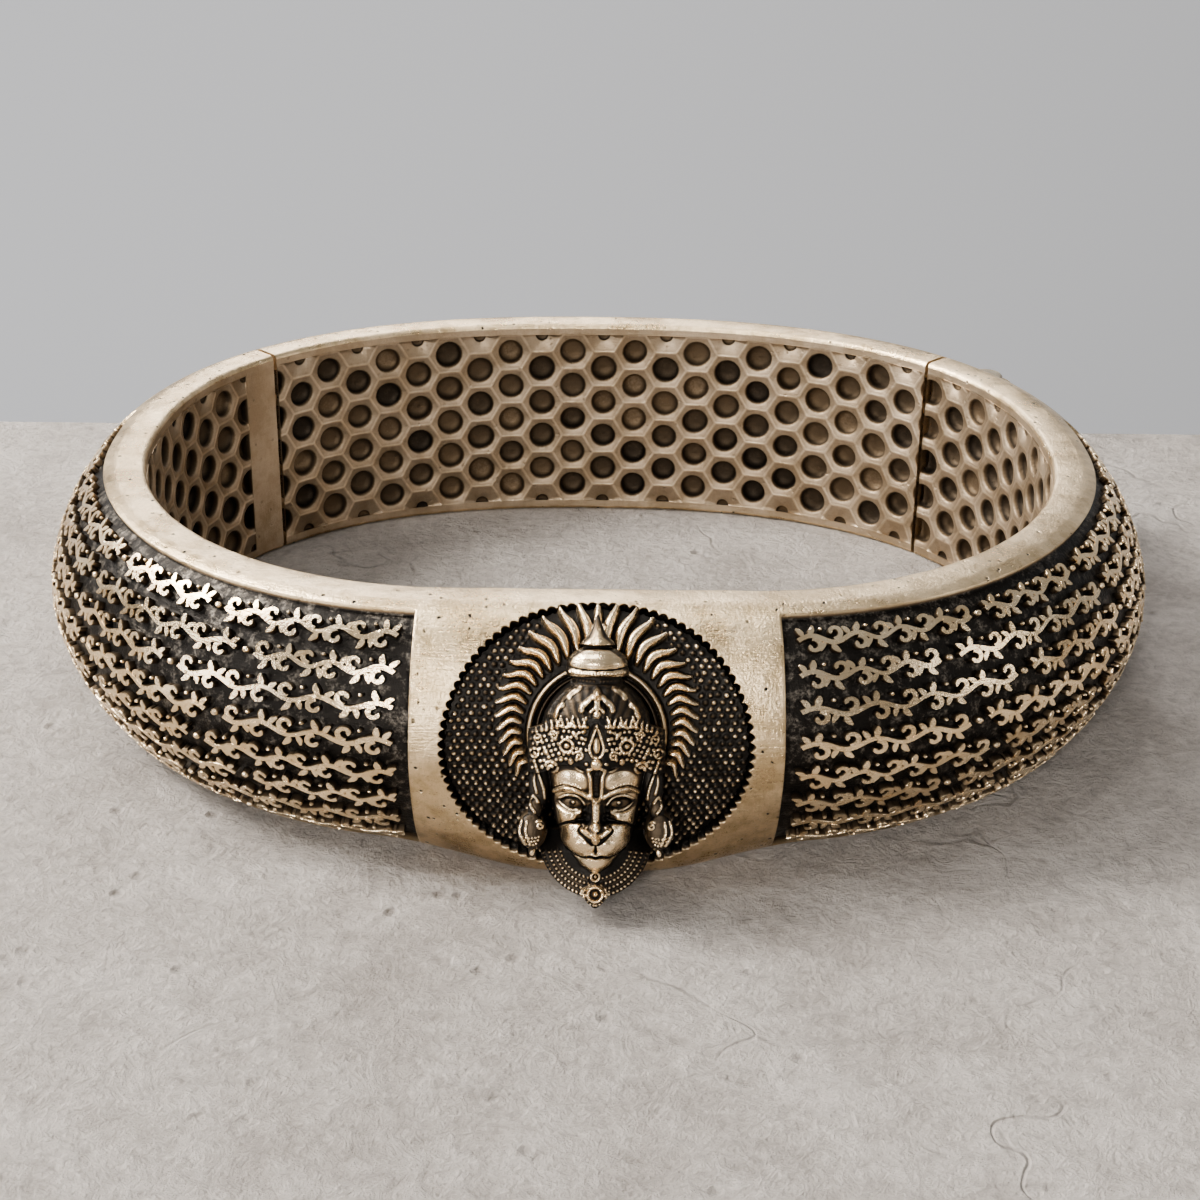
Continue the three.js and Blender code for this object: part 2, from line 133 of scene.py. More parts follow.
@dataclass
class Section:
    """Wall section of the band, whose outside is a superelliptic dome."""

    fullness: float = 1.64
    lift_spread: float = math.radians(60)
    samples: int = 1601

    @cached_property
    def profile(self) -> tuple[Array, Array, Array]:
        """Return offsets, heights and section lengths, from the bottom rim to the top rim."""
        turn = np.linspace(math.pi, 0.0, self.samples)
        offset = RIM_WIDTH + DOME_RISE * np.clip(np.sin(turn), 0, 1) ** (2 / self.fullness)
        rise = np.sign(np.cos(turn)) * np.abs(np.cos(turn)) ** (2 / self.fullness)
        height = BAND_HEIGHT / 2 * (1 + rise)
        arcs = np.concatenate([[0.0], np.cumsum(np.hypot(np.diff(offset), np.diff(height)))])
        return offset, height, arcs - arcs[-1] / 2

    @property
    def half(self) -> float:
        """Return the section length from the equator to a rim."""
        return float(self.profile[2][-1])

    def point(self, rise: Array, lift: Array) -> tuple[Array, Array]:
        """Return offset and height of places on the dome, lifted off it.

        Args:
            rise: section lengths above the equator.
            lift: heights off the dome's surface.

        Returns:
            The offsets from the inner wall and the heights over the floor.
        """
        offset, height, arcs = self.profile
        place = np.clip(rise, -self.half, self.half)
        lean = place / self.half * self.lift_spread
        return (
            np.interp(place, arcs, offset) + lift * np.cos(lean),
            np.interp(place, arcs, height) + lift * np.sin(lean),
        )


@dataclass
class BandShape:
    """The band's plan and section together, which place everything that lies on the band."""

    plan: Plan = field(default_factory=Plan)
    section: Section = field(default_factory=Section)
    foot_swell: float = 3.4
    foot_swell_half: float = 2.5
    foot_swell_end: float = 13.0
    foot_swell_power: float = 1.5

    @property
    def plan_shift(self) -> float:
        """Return how far the plan lies back in the row's frame."""
        return (self.plan.front_depth + NOSE_REACH - self.plan.back_depth) / 2

    def swell(self, places: Array) -> Array:
        """Move places on the outside forward where the foot is fuller."""
        near = 1 - smooth_step(
            self.foot_swell_half, self.foot_swell_end, np.abs(places[..., 0]))
        below = np.maximum(0, 1 - places[..., 2] / (BAND_HEIGHT / 2)) ** self.foot_swell_power
        wall = -self.plan.front_depth - places[..., 1] - RIM_CHAMFER
        wall = np.clip(wall / (RIM_WIDTH - RIM_CHAMFER), 0, 1)
        places[..., 1] -= self.foot_swell * near * below * wall
        return places

    def at(self, arc: Array, offset: Array, height: Array) -> Array:
        """Return places at arcs, offsets out of the inner wall and heights."""
        arc, offset, height = np.broadcast_arrays(arc, offset, height)
        flat = self.plan.point(arc) + self.plan.outward(arc) * offset[..., None]
        return self.swell(np.concatenate([flat, height[..., None]], -1))

    def on_dome(self, arc: Array, rise: Array, lift: Array) -> Array:
        """Return places on the domed outside, lifted off it."""
        arc, rise, lift = np.broadcast_arrays(arc, rise, lift)
        offset, height = self.section.point(rise, lift)
        return self.at(arc, offset, height)


def grid_quads(rows: int, columns: int, closed: bool = False) -> Array:
    """Return the quads of a grid of vertices; closed joins its last column to its first."""
    index = np.arange(rows * columns).reshape(rows, columns)
    if closed:
        index = np.hstack([index, index[:, :1]])
    quads = np.stack([index[:-1, :-1], index[:-1, 1:], index[1:, 1:], index[1:, :-1]], -1)
    return quads.reshape(-1, 4)


@dataclass
class Patchwork:
    """Vertices, faces and wear of a piece while it is built; wear is 0 in black grounds."""

    points: list[Array] = field(default_factory=list)
    wear: list[Array] = field(default_factory=list)
    faces: list[Array] = field(default_factory=list)
    count: int = 0

    def add(self, points: Array, wear: Array | float, *faces: Array) -> None:
        """Add loose vertices with their faces, numbered from the first of them."""
        points = np.asarray(points, float).reshape(-1, 3)
        self.points.append(points)
        self.wear.append(np.broadcast_to(np.asarray(wear, float).reshape(-1), (len(points),)))
        self.faces.extend(np.asarray(f, int) + self.count for f in faces if len(f))
        self.count += len(points)

    def grid(self, points: Array, wear: Array | float, flip: bool = False,
             closed: bool = False) -> None:
        """Add a sheet of quads.

        Args:
            points: rows by columns of vertices.
            wear: one value, one for each row as a column, or one for each vertex.
            flip: turns the faces over.
            closed: joins the last column to the first.
        """
        rows, columns = points.shape[:2]
        quads = grid_quads(rows, columns, closed)
        spread = wear if np.ndim(wear) == 0 else np.broadcast_to(wear, (rows, columns))
        self.add(points, spread, quads[:, ::-1] if flip else quads)

    def sheet(self, rows: Sequence[Array], wears: Sequence[float], flip: bool = False,
              closed: bool = False) -> None:
        """Add a sheet from its rows, each with one wear."""
        self.grid(np.stack(rows), np.array(wears)[:, None], flip, closed)

    def ball(self, centre: Array, radius: float, wear: float, sides: int = 8,
             rings: int = 6, pole: float = 0.08) -> None:
        """Add a small ball that is all but closed at its poles."""
        turn = np.linspace(0, FULL_TURN, sides, endpoint=False)
        polar = np.linspace(pole, math.pi - pole, rings)[:, None]
        form = np.stack([
            np.sin(polar) * np.cos(turn), np.sin(polar) * np.sin(turn),
            np.broadcast_to(np.cos(polar), (rings, sides)),
        ], -1)
        self.grid(centre + form * radius, wear, closed=True)

    def fan(self, ring: Array, centre: Array, wear: float, flip: bool = False) -> None:
        """Add a fan of triangles from a centre to a closed ring."""
        count = len(ring)
        step = np.arange(count)
        triangles = np.stack([step, (step + 1) % count, np.full(count, count)], -1)
        self.add(np.vstack([ring, [centre]]), wear, triangles[:, ::-1] if flip else triangles)

    def clean(self) -> tuple[Array, Array, list[Array]]:
        """Return vertices, wear and faces without faces of no area."""
        points = np.vstack(self.points)
        wear = np.concatenate(self.wear)
        kept = []
        for faces in self.faces:
            corners = points[faces]
            first = np.cross(corners[:, 1] - corners[:, 0], corners[:, 2] - corners[:, 0])
            last = np.cross(corners[:, -2] - corners[:, 0], corners[:, -1] - corners[:, 0])
            area = np.linalg.norm(first + (last if faces.shape[1] == 4 else 0), axis=1)
            kept.append(faces[area > LEAST_AREA])
        return points, wear, kept


@dataclass(frozen=True)
class Piece:
    """Where a finished mesh belongs: its CAD node and the body that carries it; it also keeps a slot
    name.
    """

    name: str
    node: str
    body: str
    slot: str
    smooth: bool = True


def make_piece(piece: Piece, patches: Patchwork, material: bpy.types.Material,
               shift: float) -> bpy.types.Object:
    """Turn a patchwork into a Blender object that stands for its CAD node.

    Args:
        piece: names of the object, node, body and slot.
        patches: the mesh in millimetres.
        material: the finish.
        shift: how far the plan lies back.

    Returns:
        The object, riding on its body.
    """
    points, wear, faces = patches.clean()
    mesh = bpy.data.meshes.new(piece.name)
    mesh.vertices.add(len(points))
    placed = (points + (0.0, shift, 0.0)) * MILLIMETRE
    mesh.vertices.foreach_set("co", placed.astype(np.float32).ravel())
    totals = np.concatenate([np.full(len(f), f.shape[1]) for f in faces])
    loops = np.concatenate([f.ravel() for f in faces])
    mesh.loops.add(len(loops))
    mesh.loops.foreach_set("vertex_index", loops.astype(np.int32))
    mesh.polygons.add(len(totals))
    starts = np.concatenate([[0], np.cumsum(totals)[:-1]])
    mesh.polygons.foreach_set("loop_start", starts.astype(np.int32))
    mesh.polygons.foreach_set("loop_total", totals.astype(np.int32))
    mesh.polygons.foreach_set("use_smooth", np.full(len(totals), piece.smooth))
    layer = mesh.attributes.new("wear", "FLOAT", "POINT")
    layer.data.foreach_set("value", wear.astype(np.float32))
    mesh.materials.append(material)
    mesh.update(calc_edges=True)
    mesh.validate()
    made = bpy.data.objects.new(piece.name, mesh)
    bpy.context.scene.collection.objects.link(made)
    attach(made, piece.body)
    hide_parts(piece.node)
    triangles = int((totals - 2).sum())
    log.info("%s: %d vertices, %d triangles", piece.name, len(points), triangles)
    return made


# Shader maths and finishes

def math_operator(operation: str) -> Callable[["Wire", "Wire | float"], "Wire"]:
    """Return an operator that adds a Math node with this operation."""
    def result(first: "Wire", second: "Wire | float") -> "Wire":
        """Return the operation's result on two values."""
        return first._math(operation, first, second)

    return result


class Wire:
    """A node socket whose arithmetic adds Math nodes."""

    def __init__(self, tree: bpy.types.NodeTree, socket: bpy.types.NodeSocket) -> None:
        """Keep the tree and the socket."""
        self.tree = tree
        self.socket = socket

    def _math(self, operation: str, *values: "Wire | float") -> "Wire":
        """Add one Math node and return its result."""
        made = self.tree.nodes.new("ShaderNodeMath")
        made.operation = operation
        for slot, value in zip(made.inputs, values):
            if isinstance(value, Wire):
                self.tree.links.new(value.socket, slot)
            else:
                slot.default_value = value
        return Wire(self.tree, made.outputs[0])

    def __rsub__(self, other: float) -> "Wire":
        """Return a number less this."""
        return self._math("SUBTRACT", other, self)

    __add__ = __radd__ = math_operator("ADD")
    __sub__ = math_operator("SUBTRACT")
    __mul__ = __rmul__ = math_operator("MULTIPLY")
    __truediv__ = math_operator("DIVIDE")

    def clamp(self) -> "Wire":
        """Return this held between 0 and 1."""
        return self._math("MINIMUM", self._math("MAXIMUM", self, 0.0), 1.0)

    def ramp(self, low: float, high: float) -> "Wire":
        """Return 0 at low, 1 at high and a straight rise between them."""
        return ((self - low) / (high - low)).clamp()


def set_stops(elements: bpy.types.ColorRampElements,
              stops: Sequence[tuple[float, Sequence[float]]]) -> None:
    """Give a colour ramp its stops."""
    while len(elements) < len(stops):
        elements.new(0.5)
    for element, (place, colour) in zip(elements, stops):
        element.position = place
        element.color = (*colour, 1.0)


class Nodes:
    """A node tree, with one method that adds any node."""

    def __init__(self, tree: bpy.types.NodeTree) -> None:
        """Keep the tree."""
        self.tree = tree

    def node(self, kind: str, settings: dict | None = None,
             sockets: dict | None = None) -> bpy.types.Node:
        """Add a node.

        Args:
            kind: Blender's name of the node type.
            settings: attributes that are set before the sockets; stops is a ramp's colours.
            sockets: a value or a Wire for each socket name or number.

        Returns:
            The new node.
        """
        made = self.tree.nodes.new(kind)
        for key, value in (settings or {}).items():
            if key == "stops":
                set_stops(made.color_ramp.elements, value)
            else:
                setattr(made, key, value)
        for key, value in (sockets or {}).items():
            if isinstance(value, Wire):
                self.tree.links.new(value.socket, made.inputs[key])
            else:
                made.inputs[key].default_value = value
        return made

    def wire(self, made: bpy.types.Node, output: str | int = 0) -> Wire:
        """Return one output of a node."""
        return Wire(self.tree, made.outputs[output])


class Finish(Nodes):
    """A material under construction."""

    def __init__(self, name: str) -> None:
        """Start an empty material with its output."""
        self.material = bpy.data.materials.new(name)
        self.material.use_nodes = True
        super().__init__(self.material.node_tree)
        self.tree.nodes.clear()
        self.output = self.tree.nodes.new("ShaderNodeOutputMaterial")

    def noise(self, where: Wire, scale: float, detail: float = 4.0,
              roughness: float = 0.55) -> Wire:
        """Return a noise value about 0.5."""
        return self.wire(self.node("ShaderNodeTexNoise", sockets={
            "Vector": where, "Scale": scale, "Detail": detail, "Roughness": roughness,
        }))

    def mix(self, share: "Wire | float", first: object, second: object) -> Wire:
        """Return a mix of two colours."""
        return self.wire(self.node("ShaderNodeMix", {"data_type": "RGBA"}, {
            0: share, 6: colour_of(first), 7: colour_of(second),
        }), 2)

    def millimetres(self, stretch: Sequence[float] = (1.0, 1.0, 1.0)) -> Wire:
        """Return the object's own coordinates in millimetres."""
        coordinates = self.wire(self.node("ShaderNodeTexCoord"), "Object")
        return self.wire(self.node("ShaderNodeVectorMath", {"operation": "MULTIPLY"}, {
            0: coordinates, 1: tuple(1 / MILLIMETRE * s for s in stretch),
        }))

    def bumped(self, strength: float, distance: float, relief: Wire) -> Wire:
        """Return the normal that a relief gives; distance is in metres."""
        return self.wire(self.node("ShaderNodeBump", sockets={
            "Strength": strength, "Distance": distance, "Height": relief,
        }))

    def surfaced(self, sockets: dict) -> bpy.types.Material:
        """Join a principled shader with these sockets to the output and return the material."""
        surface = self.node("ShaderNodeBsdfPrincipled", sockets=sockets)
        self.tree.links.new(surface.outputs[0], self.output.inputs["Surface"])
        return self.material


def colour_of(value: object) -> object:
    """Return a Wire as it is, and three numbers as a colour."""
    return value if isinstance(value, Wire) else (*value, 1.0)


@dataclass(frozen=True)
class BrassFinish:
    """Aged brass: bright where worn, black in the grounds with lighter patches of wear and painted
    sheen, with pits and scratches.
    """

    name: str
    bright: Colour = (0.89, 0.68, 0.41)
    warm: Colour = (0.54, 0.385, 0.205)
    brown: Colour = (0.13, 0.088, 0.05)
    black: Colour = (0.014, 0.0125, 0.011)
    worn_and_sheen_ground: Colour = (0.22, 0.19, 0.155)
    bright_roughness: float = 0.31
    dark_roughness: float = 0.46
    pit_share: float = 1.0
    mottle: float = 1.0
    least_wear: float = 0.0
    cloud_scale: float = 0.28
    tarnish_scale: float = 0.75
    speckle_scale: float = 1.4
    grain_scale: float = 5.5
    bump_distance: float = 0.00011

    def make(self) -> bpy.types.Material:
        """Return the material."""
        finish = Finish(self.name)
        where = finish.millimetres()
        wear = finish.wire(finish.node("ShaderNodeAttribute", {"attribute_name": "wear"}), "Fac")
        wear = (wear + self.least_wear).clamp()
        skin = 0.2 + 0.8 * self.mottle
        cloud = finish.noise(where, self.cloud_scale, 3.0)
        grain = finish.noise(where, self.grain_scale, 4.0, 0.65)
        speckle = finish.noise(where, self.speckle_scale, 5.0, 0.7)
        tarnish = finish.noise(where, self.tarnish_scale, 5.0, 0.65)
        metal = finish.mix((cloud * 0.5 + tarnish * 0.5).ramp(0.42, 0.58), self.warm, self.bright)
        streak = self._scratches(finish)
        metal = finish.mix(streak.ramp(0.55, 0.72) * 0.3, metal, self.warm)
        metal = finish.mix(grain.ramp(0.58, 0.76) * (0.55 * skin), metal, self.brown)
        metal = finish.mix(tarnish.ramp(0.56, 0.74) * (0.38 * skin), metal, self.brown)
        # partly wear, partly painted sheen: lighter patches on the black grounds
        rubbed_and_sheen = speckle.ramp(0.50, 0.72) * grain.ramp(0.38, 0.60) * self.mottle
        ground = finish.mix(rubbed_and_sheen, self.black, self.worn_and_sheen_ground)
        dusk = finish.mix((wear * 2.2).clamp(), ground, self.brown)
        lit = (wear + (grain - 0.5) * 0.25).ramp(0.40, 0.92)
        colour = finish.mix(lit, dusk, metal)
        pits = self._pits(finish, where)
        colour = finish.mix(pits * wear.ramp(0.5, 0.9) * self.pit_share, colour, self.black)
        tone = (self.dark_roughness - self.bright_roughness) * (1 - lit) + self.bright_roughness
        roughness = tone + (cloud - 0.5) * 0.20 + (grain - 0.5) * 0.16 + (streak - 0.5) * 0.2
        relief = streak * 0.9 + grain * 0.6 + tarnish * 1.6 - pits * 2.2
        return finish.surfaced({
            "Base Color": colour,
            "Metallic": 1.0,
            "Roughness": roughness.clamp(),
            "Normal": finish.bumped(0.2 + 0.35 * skin, self.bump_distance, relief),
        })

    def _pits(self, finish: Finish, where: Wire) -> Wire:
        """Return small dark pits that gather in a few places."""
        cells = finish.wire(finish.node("ShaderNodeTexVoronoi", sockets={
            "Vector": where, "Scale": 1.15, "Randomness": 1.0,
        }), "Distance")
        edge = finish.noise(where, 9.0, 2.0)
        gathered = finish.noise(where, 0.4, 2.0).ramp(0.42, 0.52)
        return (1 - (cells + (edge - 0.5) * 0.2).ramp(0.09, 0.16)) * gathered

    def _scratches(self, finish: Finish) -> Wire:
        """Return fine scratches that run round the band and across it."""
        along = finish.noise(finish.millimetres((0.35, 0.35, 7.0)), 1.6, 3.0)
        across = finish.noise(finish.millimetres((6.0, 6.0, 0.5)), 1.3, 3.0)
        return along * 0.6 + across * 0.4


@dataclass(frozen=True)
class StoneFinish:
    """Matt pale stone of the floor: mottled, grained, creased and pitted."""

    name: str
    pale: Colour
    dark: Colour
    deep: Colour
    roughness: float = 0.88
    bump_distance: float = 0.0013

    def make(self) -> bpy.types.Material:
        """Return the material."""
        finish = Finish(self.name)
        where = finish.millimetres()
        broad = finish.noise(where, 0.05, 5.0, 0.6)
        blotch = finish.noise(where, 0.22, 4.0, 0.65)
        fine = finish.noise(where, 1.1, 6.0, 0.75)
        fibre = finish.wire(finish.node("ShaderNodeTexNoise", sockets={
            "Vector": where, "Scale": 0.42, "Detail": 7.0, "Roughness": 0.72, "Distortion": 2.2,
        }))
        bent = finish.node("ShaderNodeTexNoise", sockets={"Vector": where, "Scale": 0.12})
        warped = finish.wire(finish.node("ShaderNodeVectorMath", {"operation": "MULTIPLY_ADD"}, {
            0: finish.wire(bent, "Color"), 1: (22.0, 22.0, 0.0), 2: where,
        }))
        cells = finish.wire(finish.node("ShaderNodeTexVoronoi", {
            "feature": "DISTANCE_TO_EDGE"}, {"Vector": warped, "Scale": 0.045}))
        crease = (1 - cells.ramp(0.002, 0.014)) * broad.ramp(0.52, 0.60)
        pocks = finish.wire(finish.node("ShaderNodeTexVoronoi", sockets={
            "Vector": where, "Scale": 0.34}))
        pit = (1 - pocks.ramp(0.05, 0.17)) * blotch.ramp(0.46, 0.56)
        share = (broad * 0.3 + blotch * 0.3 + fine * 0.4).ramp(0.42, 0.56)
        colour = finish.mix(share, self.dark, self.pale)
        hollow = (crease * 0.35 + pit * 0.6 + fibre.ramp(0.52, 0.70) * 0.42).clamp()
        relief = broad * 2.4 + blotch * 1.3 - fibre * 1.2 + fine * 1.3 - crease * 0.5 - pit * 0.9
        return finish.surfaced({
            "Base Color": finish.mix(hollow, colour, self.deep),
            "Roughness": self.roughness,
            "Normal": finish.bumped(1.0, self.bump_distance, relief),
        })


@dataclass(frozen=True)
class BackdropFinish:
    """Plain soft grey with painted light: it glows a little and is lighter on the left."""

    name: str
    left: Colour
    right: Colour
    glow: float
    reach: float = 420.0

    def make(self) -> bpy.types.Material:
        """Return the material."""
        finish = Finish(self.name)
        across = finish.wire(finish.node("ShaderNodeSeparateXYZ", sockets={
            0: finish.millimetres()}))
        # painted light: lighter on the left, darker on the right, and the same colour glows
        colour = finish.mix(across.ramp(-self.reach, self.reach), self.left, self.right)
        return finish.surfaced({
            "Base Color": colour, "Roughness": 0.9,
            "Emission Color": colour, "Emission Strength": self.glow,
        })


# The hinge, which also shapes the metal beside it

@dataclass
class Hinge:
    """Knuckles and pin on the right back seam."""

    shape: BandShape
    axis_offset: float = 7.7
    radius: float = 2.2
    bottom: float = 3.5
    top: float = 12.7
    leaf_length: float = 4.6
    leaf_root: float = 4.4
    pin_radius: float = 0.75
    head_radius: float = 1.3
    head_height: float = 0.5
    head_ease: float = 0.15
    sides: int = 40
    ease: float = 0.16
    outline_reach: float = 3.2
    knuckle_wear: float = 0.8
    pin_wear: float = 0.7
    bead_radius: float = 0.34
    bead_sink: float = 0.05
    bead_rows: int = 3
    bead_degrees: tuple[int, ...] = (0, 24, 48, 72, 96, 120, 144)

    @property
    def length(self) -> float:
        """Return the height of one knuckle."""
        return (self.top - self.bottom - 2 * FIT_GAP) / 3

    def bottoms(self, side: int) -> list[float]:
        """Return where the knuckles of an arc start; side is -1 for the front arc."""
        if side < 0:
            return [self.bottom, self.top - self.length]
        return [self.bottom + self.length + FIT_GAP]

    def place(self, local: Array, height: Array) -> Array:
        """Return places from (along the wall, out of it) about the pin's axis and a height."""
        point = self.shape.plan.point(np.array(SEAM_ARC))
        out = self.shape.plan.outward(np.array(SEAM_ARC))
        along = np.array([-out[1], out[0]])
        flat = point + out * self.axis_offset + local[..., :1] * along + local[..., 1:2] * out
        return np.concatenate([flat, np.broadcast_to(height, flat.shape[:-1])[..., None]], -1)

    def make_room(self, points: Array, side: int) -> Array:
        """Push the metal of an arc clear of the other arc's knuckles.

        Args:
            points: vertices of the arc.
            side: -1 for the front arc, 1 for the back arc.

        Returns:
            The moved vertices.
        """
        axis = self.place(np.zeros((1, 2)), np.zeros(1))[0, :2]
        apart = points[..., :2] - axis
        reach = np.linalg.norm(apart, axis=-1)
        moved = points.copy()
        for bottom in self.bottoms(-side):
            inside = (points[..., 2] > bottom - FIT_GAP) & (reach < self.radius + FIT_GAP)
            inside &= points[..., 2] < bottom + self.length + FIT_GAP
            scale = (self.radius + FIT_GAP) / np.maximum(reach, FIT_GAP)
            moved[..., :2] = np.where(
                inside[..., None], axis + apart * scale[..., None], moved[..., :2])
        return moved

    def outline(self, side: int) -> Array:
        """Return the knuckle's outline with its leaf, seen along the pin."""
        edge = SEAM_GAP / 2
        low = math.asin(-math.cos(math.asin(edge / self.radius)))
        offset, height, _ = self.shape.section.profile
        tip = np.array([-self.leaf_length, np.interp(self.top, height, offset) - self.axis_offset])
        span = math.hypot(*tip)
        touch = math.atan2(tip[1], tip[0]) % FULL_TURN - math.acos(self.radius / span)
        turns = np.linspace(low, touch, self.sides)
        arc = np.stack([np.cos(turns), np.sin(turns)], -1) * self.radius
        corners = [[-edge, -self.leaf_root]], arc, [tip, [tip[0], -self.leaf_root]]
        return np.vstack(corners) * (-side, 1)

    def knuckles(self, side: int) -> Patchwork:
        """Return the arc's knuckles with eased edges and rows of beads."""
        patches = Patchwork()
        outline = self.outline(side)
        centre = outline.mean(0)
        eased = centre + (outline - centre) * (1 - self.ease / self.outline_reach)
        for bottom in self.bottoms(side):
            rings = [
                self.place(ring, np.array(bottom + rise))
                for ring, rise in ((eased, 0.0), (outline, self.ease),
                                   (outline, self.length - self.ease), (eased, self.length))
            ]
            for low, high in zip(rings[:-1], rings[1:]):
                patches.grid(np.stack([low, high]), self.knuckle_wear, side > 0, closed=True)
            middle = self.place(centre[None], np.array(bottom))[0]
            patches.fan(rings[0], middle, self.knuckle_wear, flip=side < 0)
            patches.fan(rings[-1], middle + (0, 0, self.length), self.knuckle_wear, side > 0)
            self._beads(patches, bottom, side)
        return patches

    def _beads(self, patches: Patchwork, bottom: float, side: int) -> None:
        """Add small raised drops to a knuckle's round outside."""
        for row in range(self.bead_rows):
            height = bottom + self.length * (row + 0.5) / self.bead_rows
            for turn in np.radians(self.bead_degrees):
                angle = turn if side < 0 else math.pi - turn
                spot = np.array([math.cos(angle), math.sin(angle)])
                spot *= self.radius - self.bead_sink
                centre = self.place(spot[None], np.array(height))[0]
                patches.ball(centre, self.bead_radius, self.knuckle_wear)

    def pin(self) -> Patchwork:
        """Return the headed pin as one turned form."""
        gap = self.head_height + FIT_GAP
        low, high = self.bottom - gap, self.top + gap
        tip = 0.02
        face = self.head_radius - self.head_ease
        profile = [
            (tip, low), (face, low), (self.head_radius, low + self.head_ease),
            (self.head_radius, low + self.head_height), (self.pin_radius, low + self.head_height),
            (self.pin_radius, high - self.head_height), (self.head_radius, high - self.head_height),
            (self.head_radius, high - self.head_ease), (face, high), (tip, high),
        ]
        turns = np.linspace(0, FULL_TURN, self.sides, endpoint=False)
        around = np.stack([np.cos(turns), np.sin(turns)], -1)
        rings = [self.place(around * r, np.array(z)) for r, z in profile]
        patches = Patchwork()
        for first, second in zip(rings[:-1], rings[1:]):
            patches.grid(np.stack([first, second]), self.pin_wear, closed=True, flip=True)
        return patches


# The band

class Arc(Enum):
    """The two arcs of the band: body, node and the side of the hinge that they are on."""

    FRONT = ("front", "front_band", -1)
    BACK = ("back", "back_band", 1)

    def __init__(self, body: str, node: str, side: int) -> None:
        """Keep the names of the body and the CAD node, and -1 for the front or 1 for the back."""
        self.body = body
        self.node = node
        self.side = side


@dataclass
class Panel:
    """A sunk panel and the rows of scroll ornament on its black ground."""

    start: float = 10.4
    end: float = 50.4
    half_height: float = 9.1
    depth: float = 0.5
    rows: int = 8
    row_pitch: float = 2.12
    stroke: float = 0.245
    below_dome: float = 0.0
    margin: float = 1.1
    first_gap: float = 0.75
    wall_width: float = 0.10

    def lift(self, arc: Array, rise: Array) -> Array:
        """Return how far the panels sink the dome's surface."""
        along = np.abs(arc)
        inside = np.minimum(along - self.start, self.end - along)
        inside = np.minimum(inside, self.half_height - np.abs(rise))
        return -self.depth * np.clip(inside / self.wall_width, 0.0, 1.0)


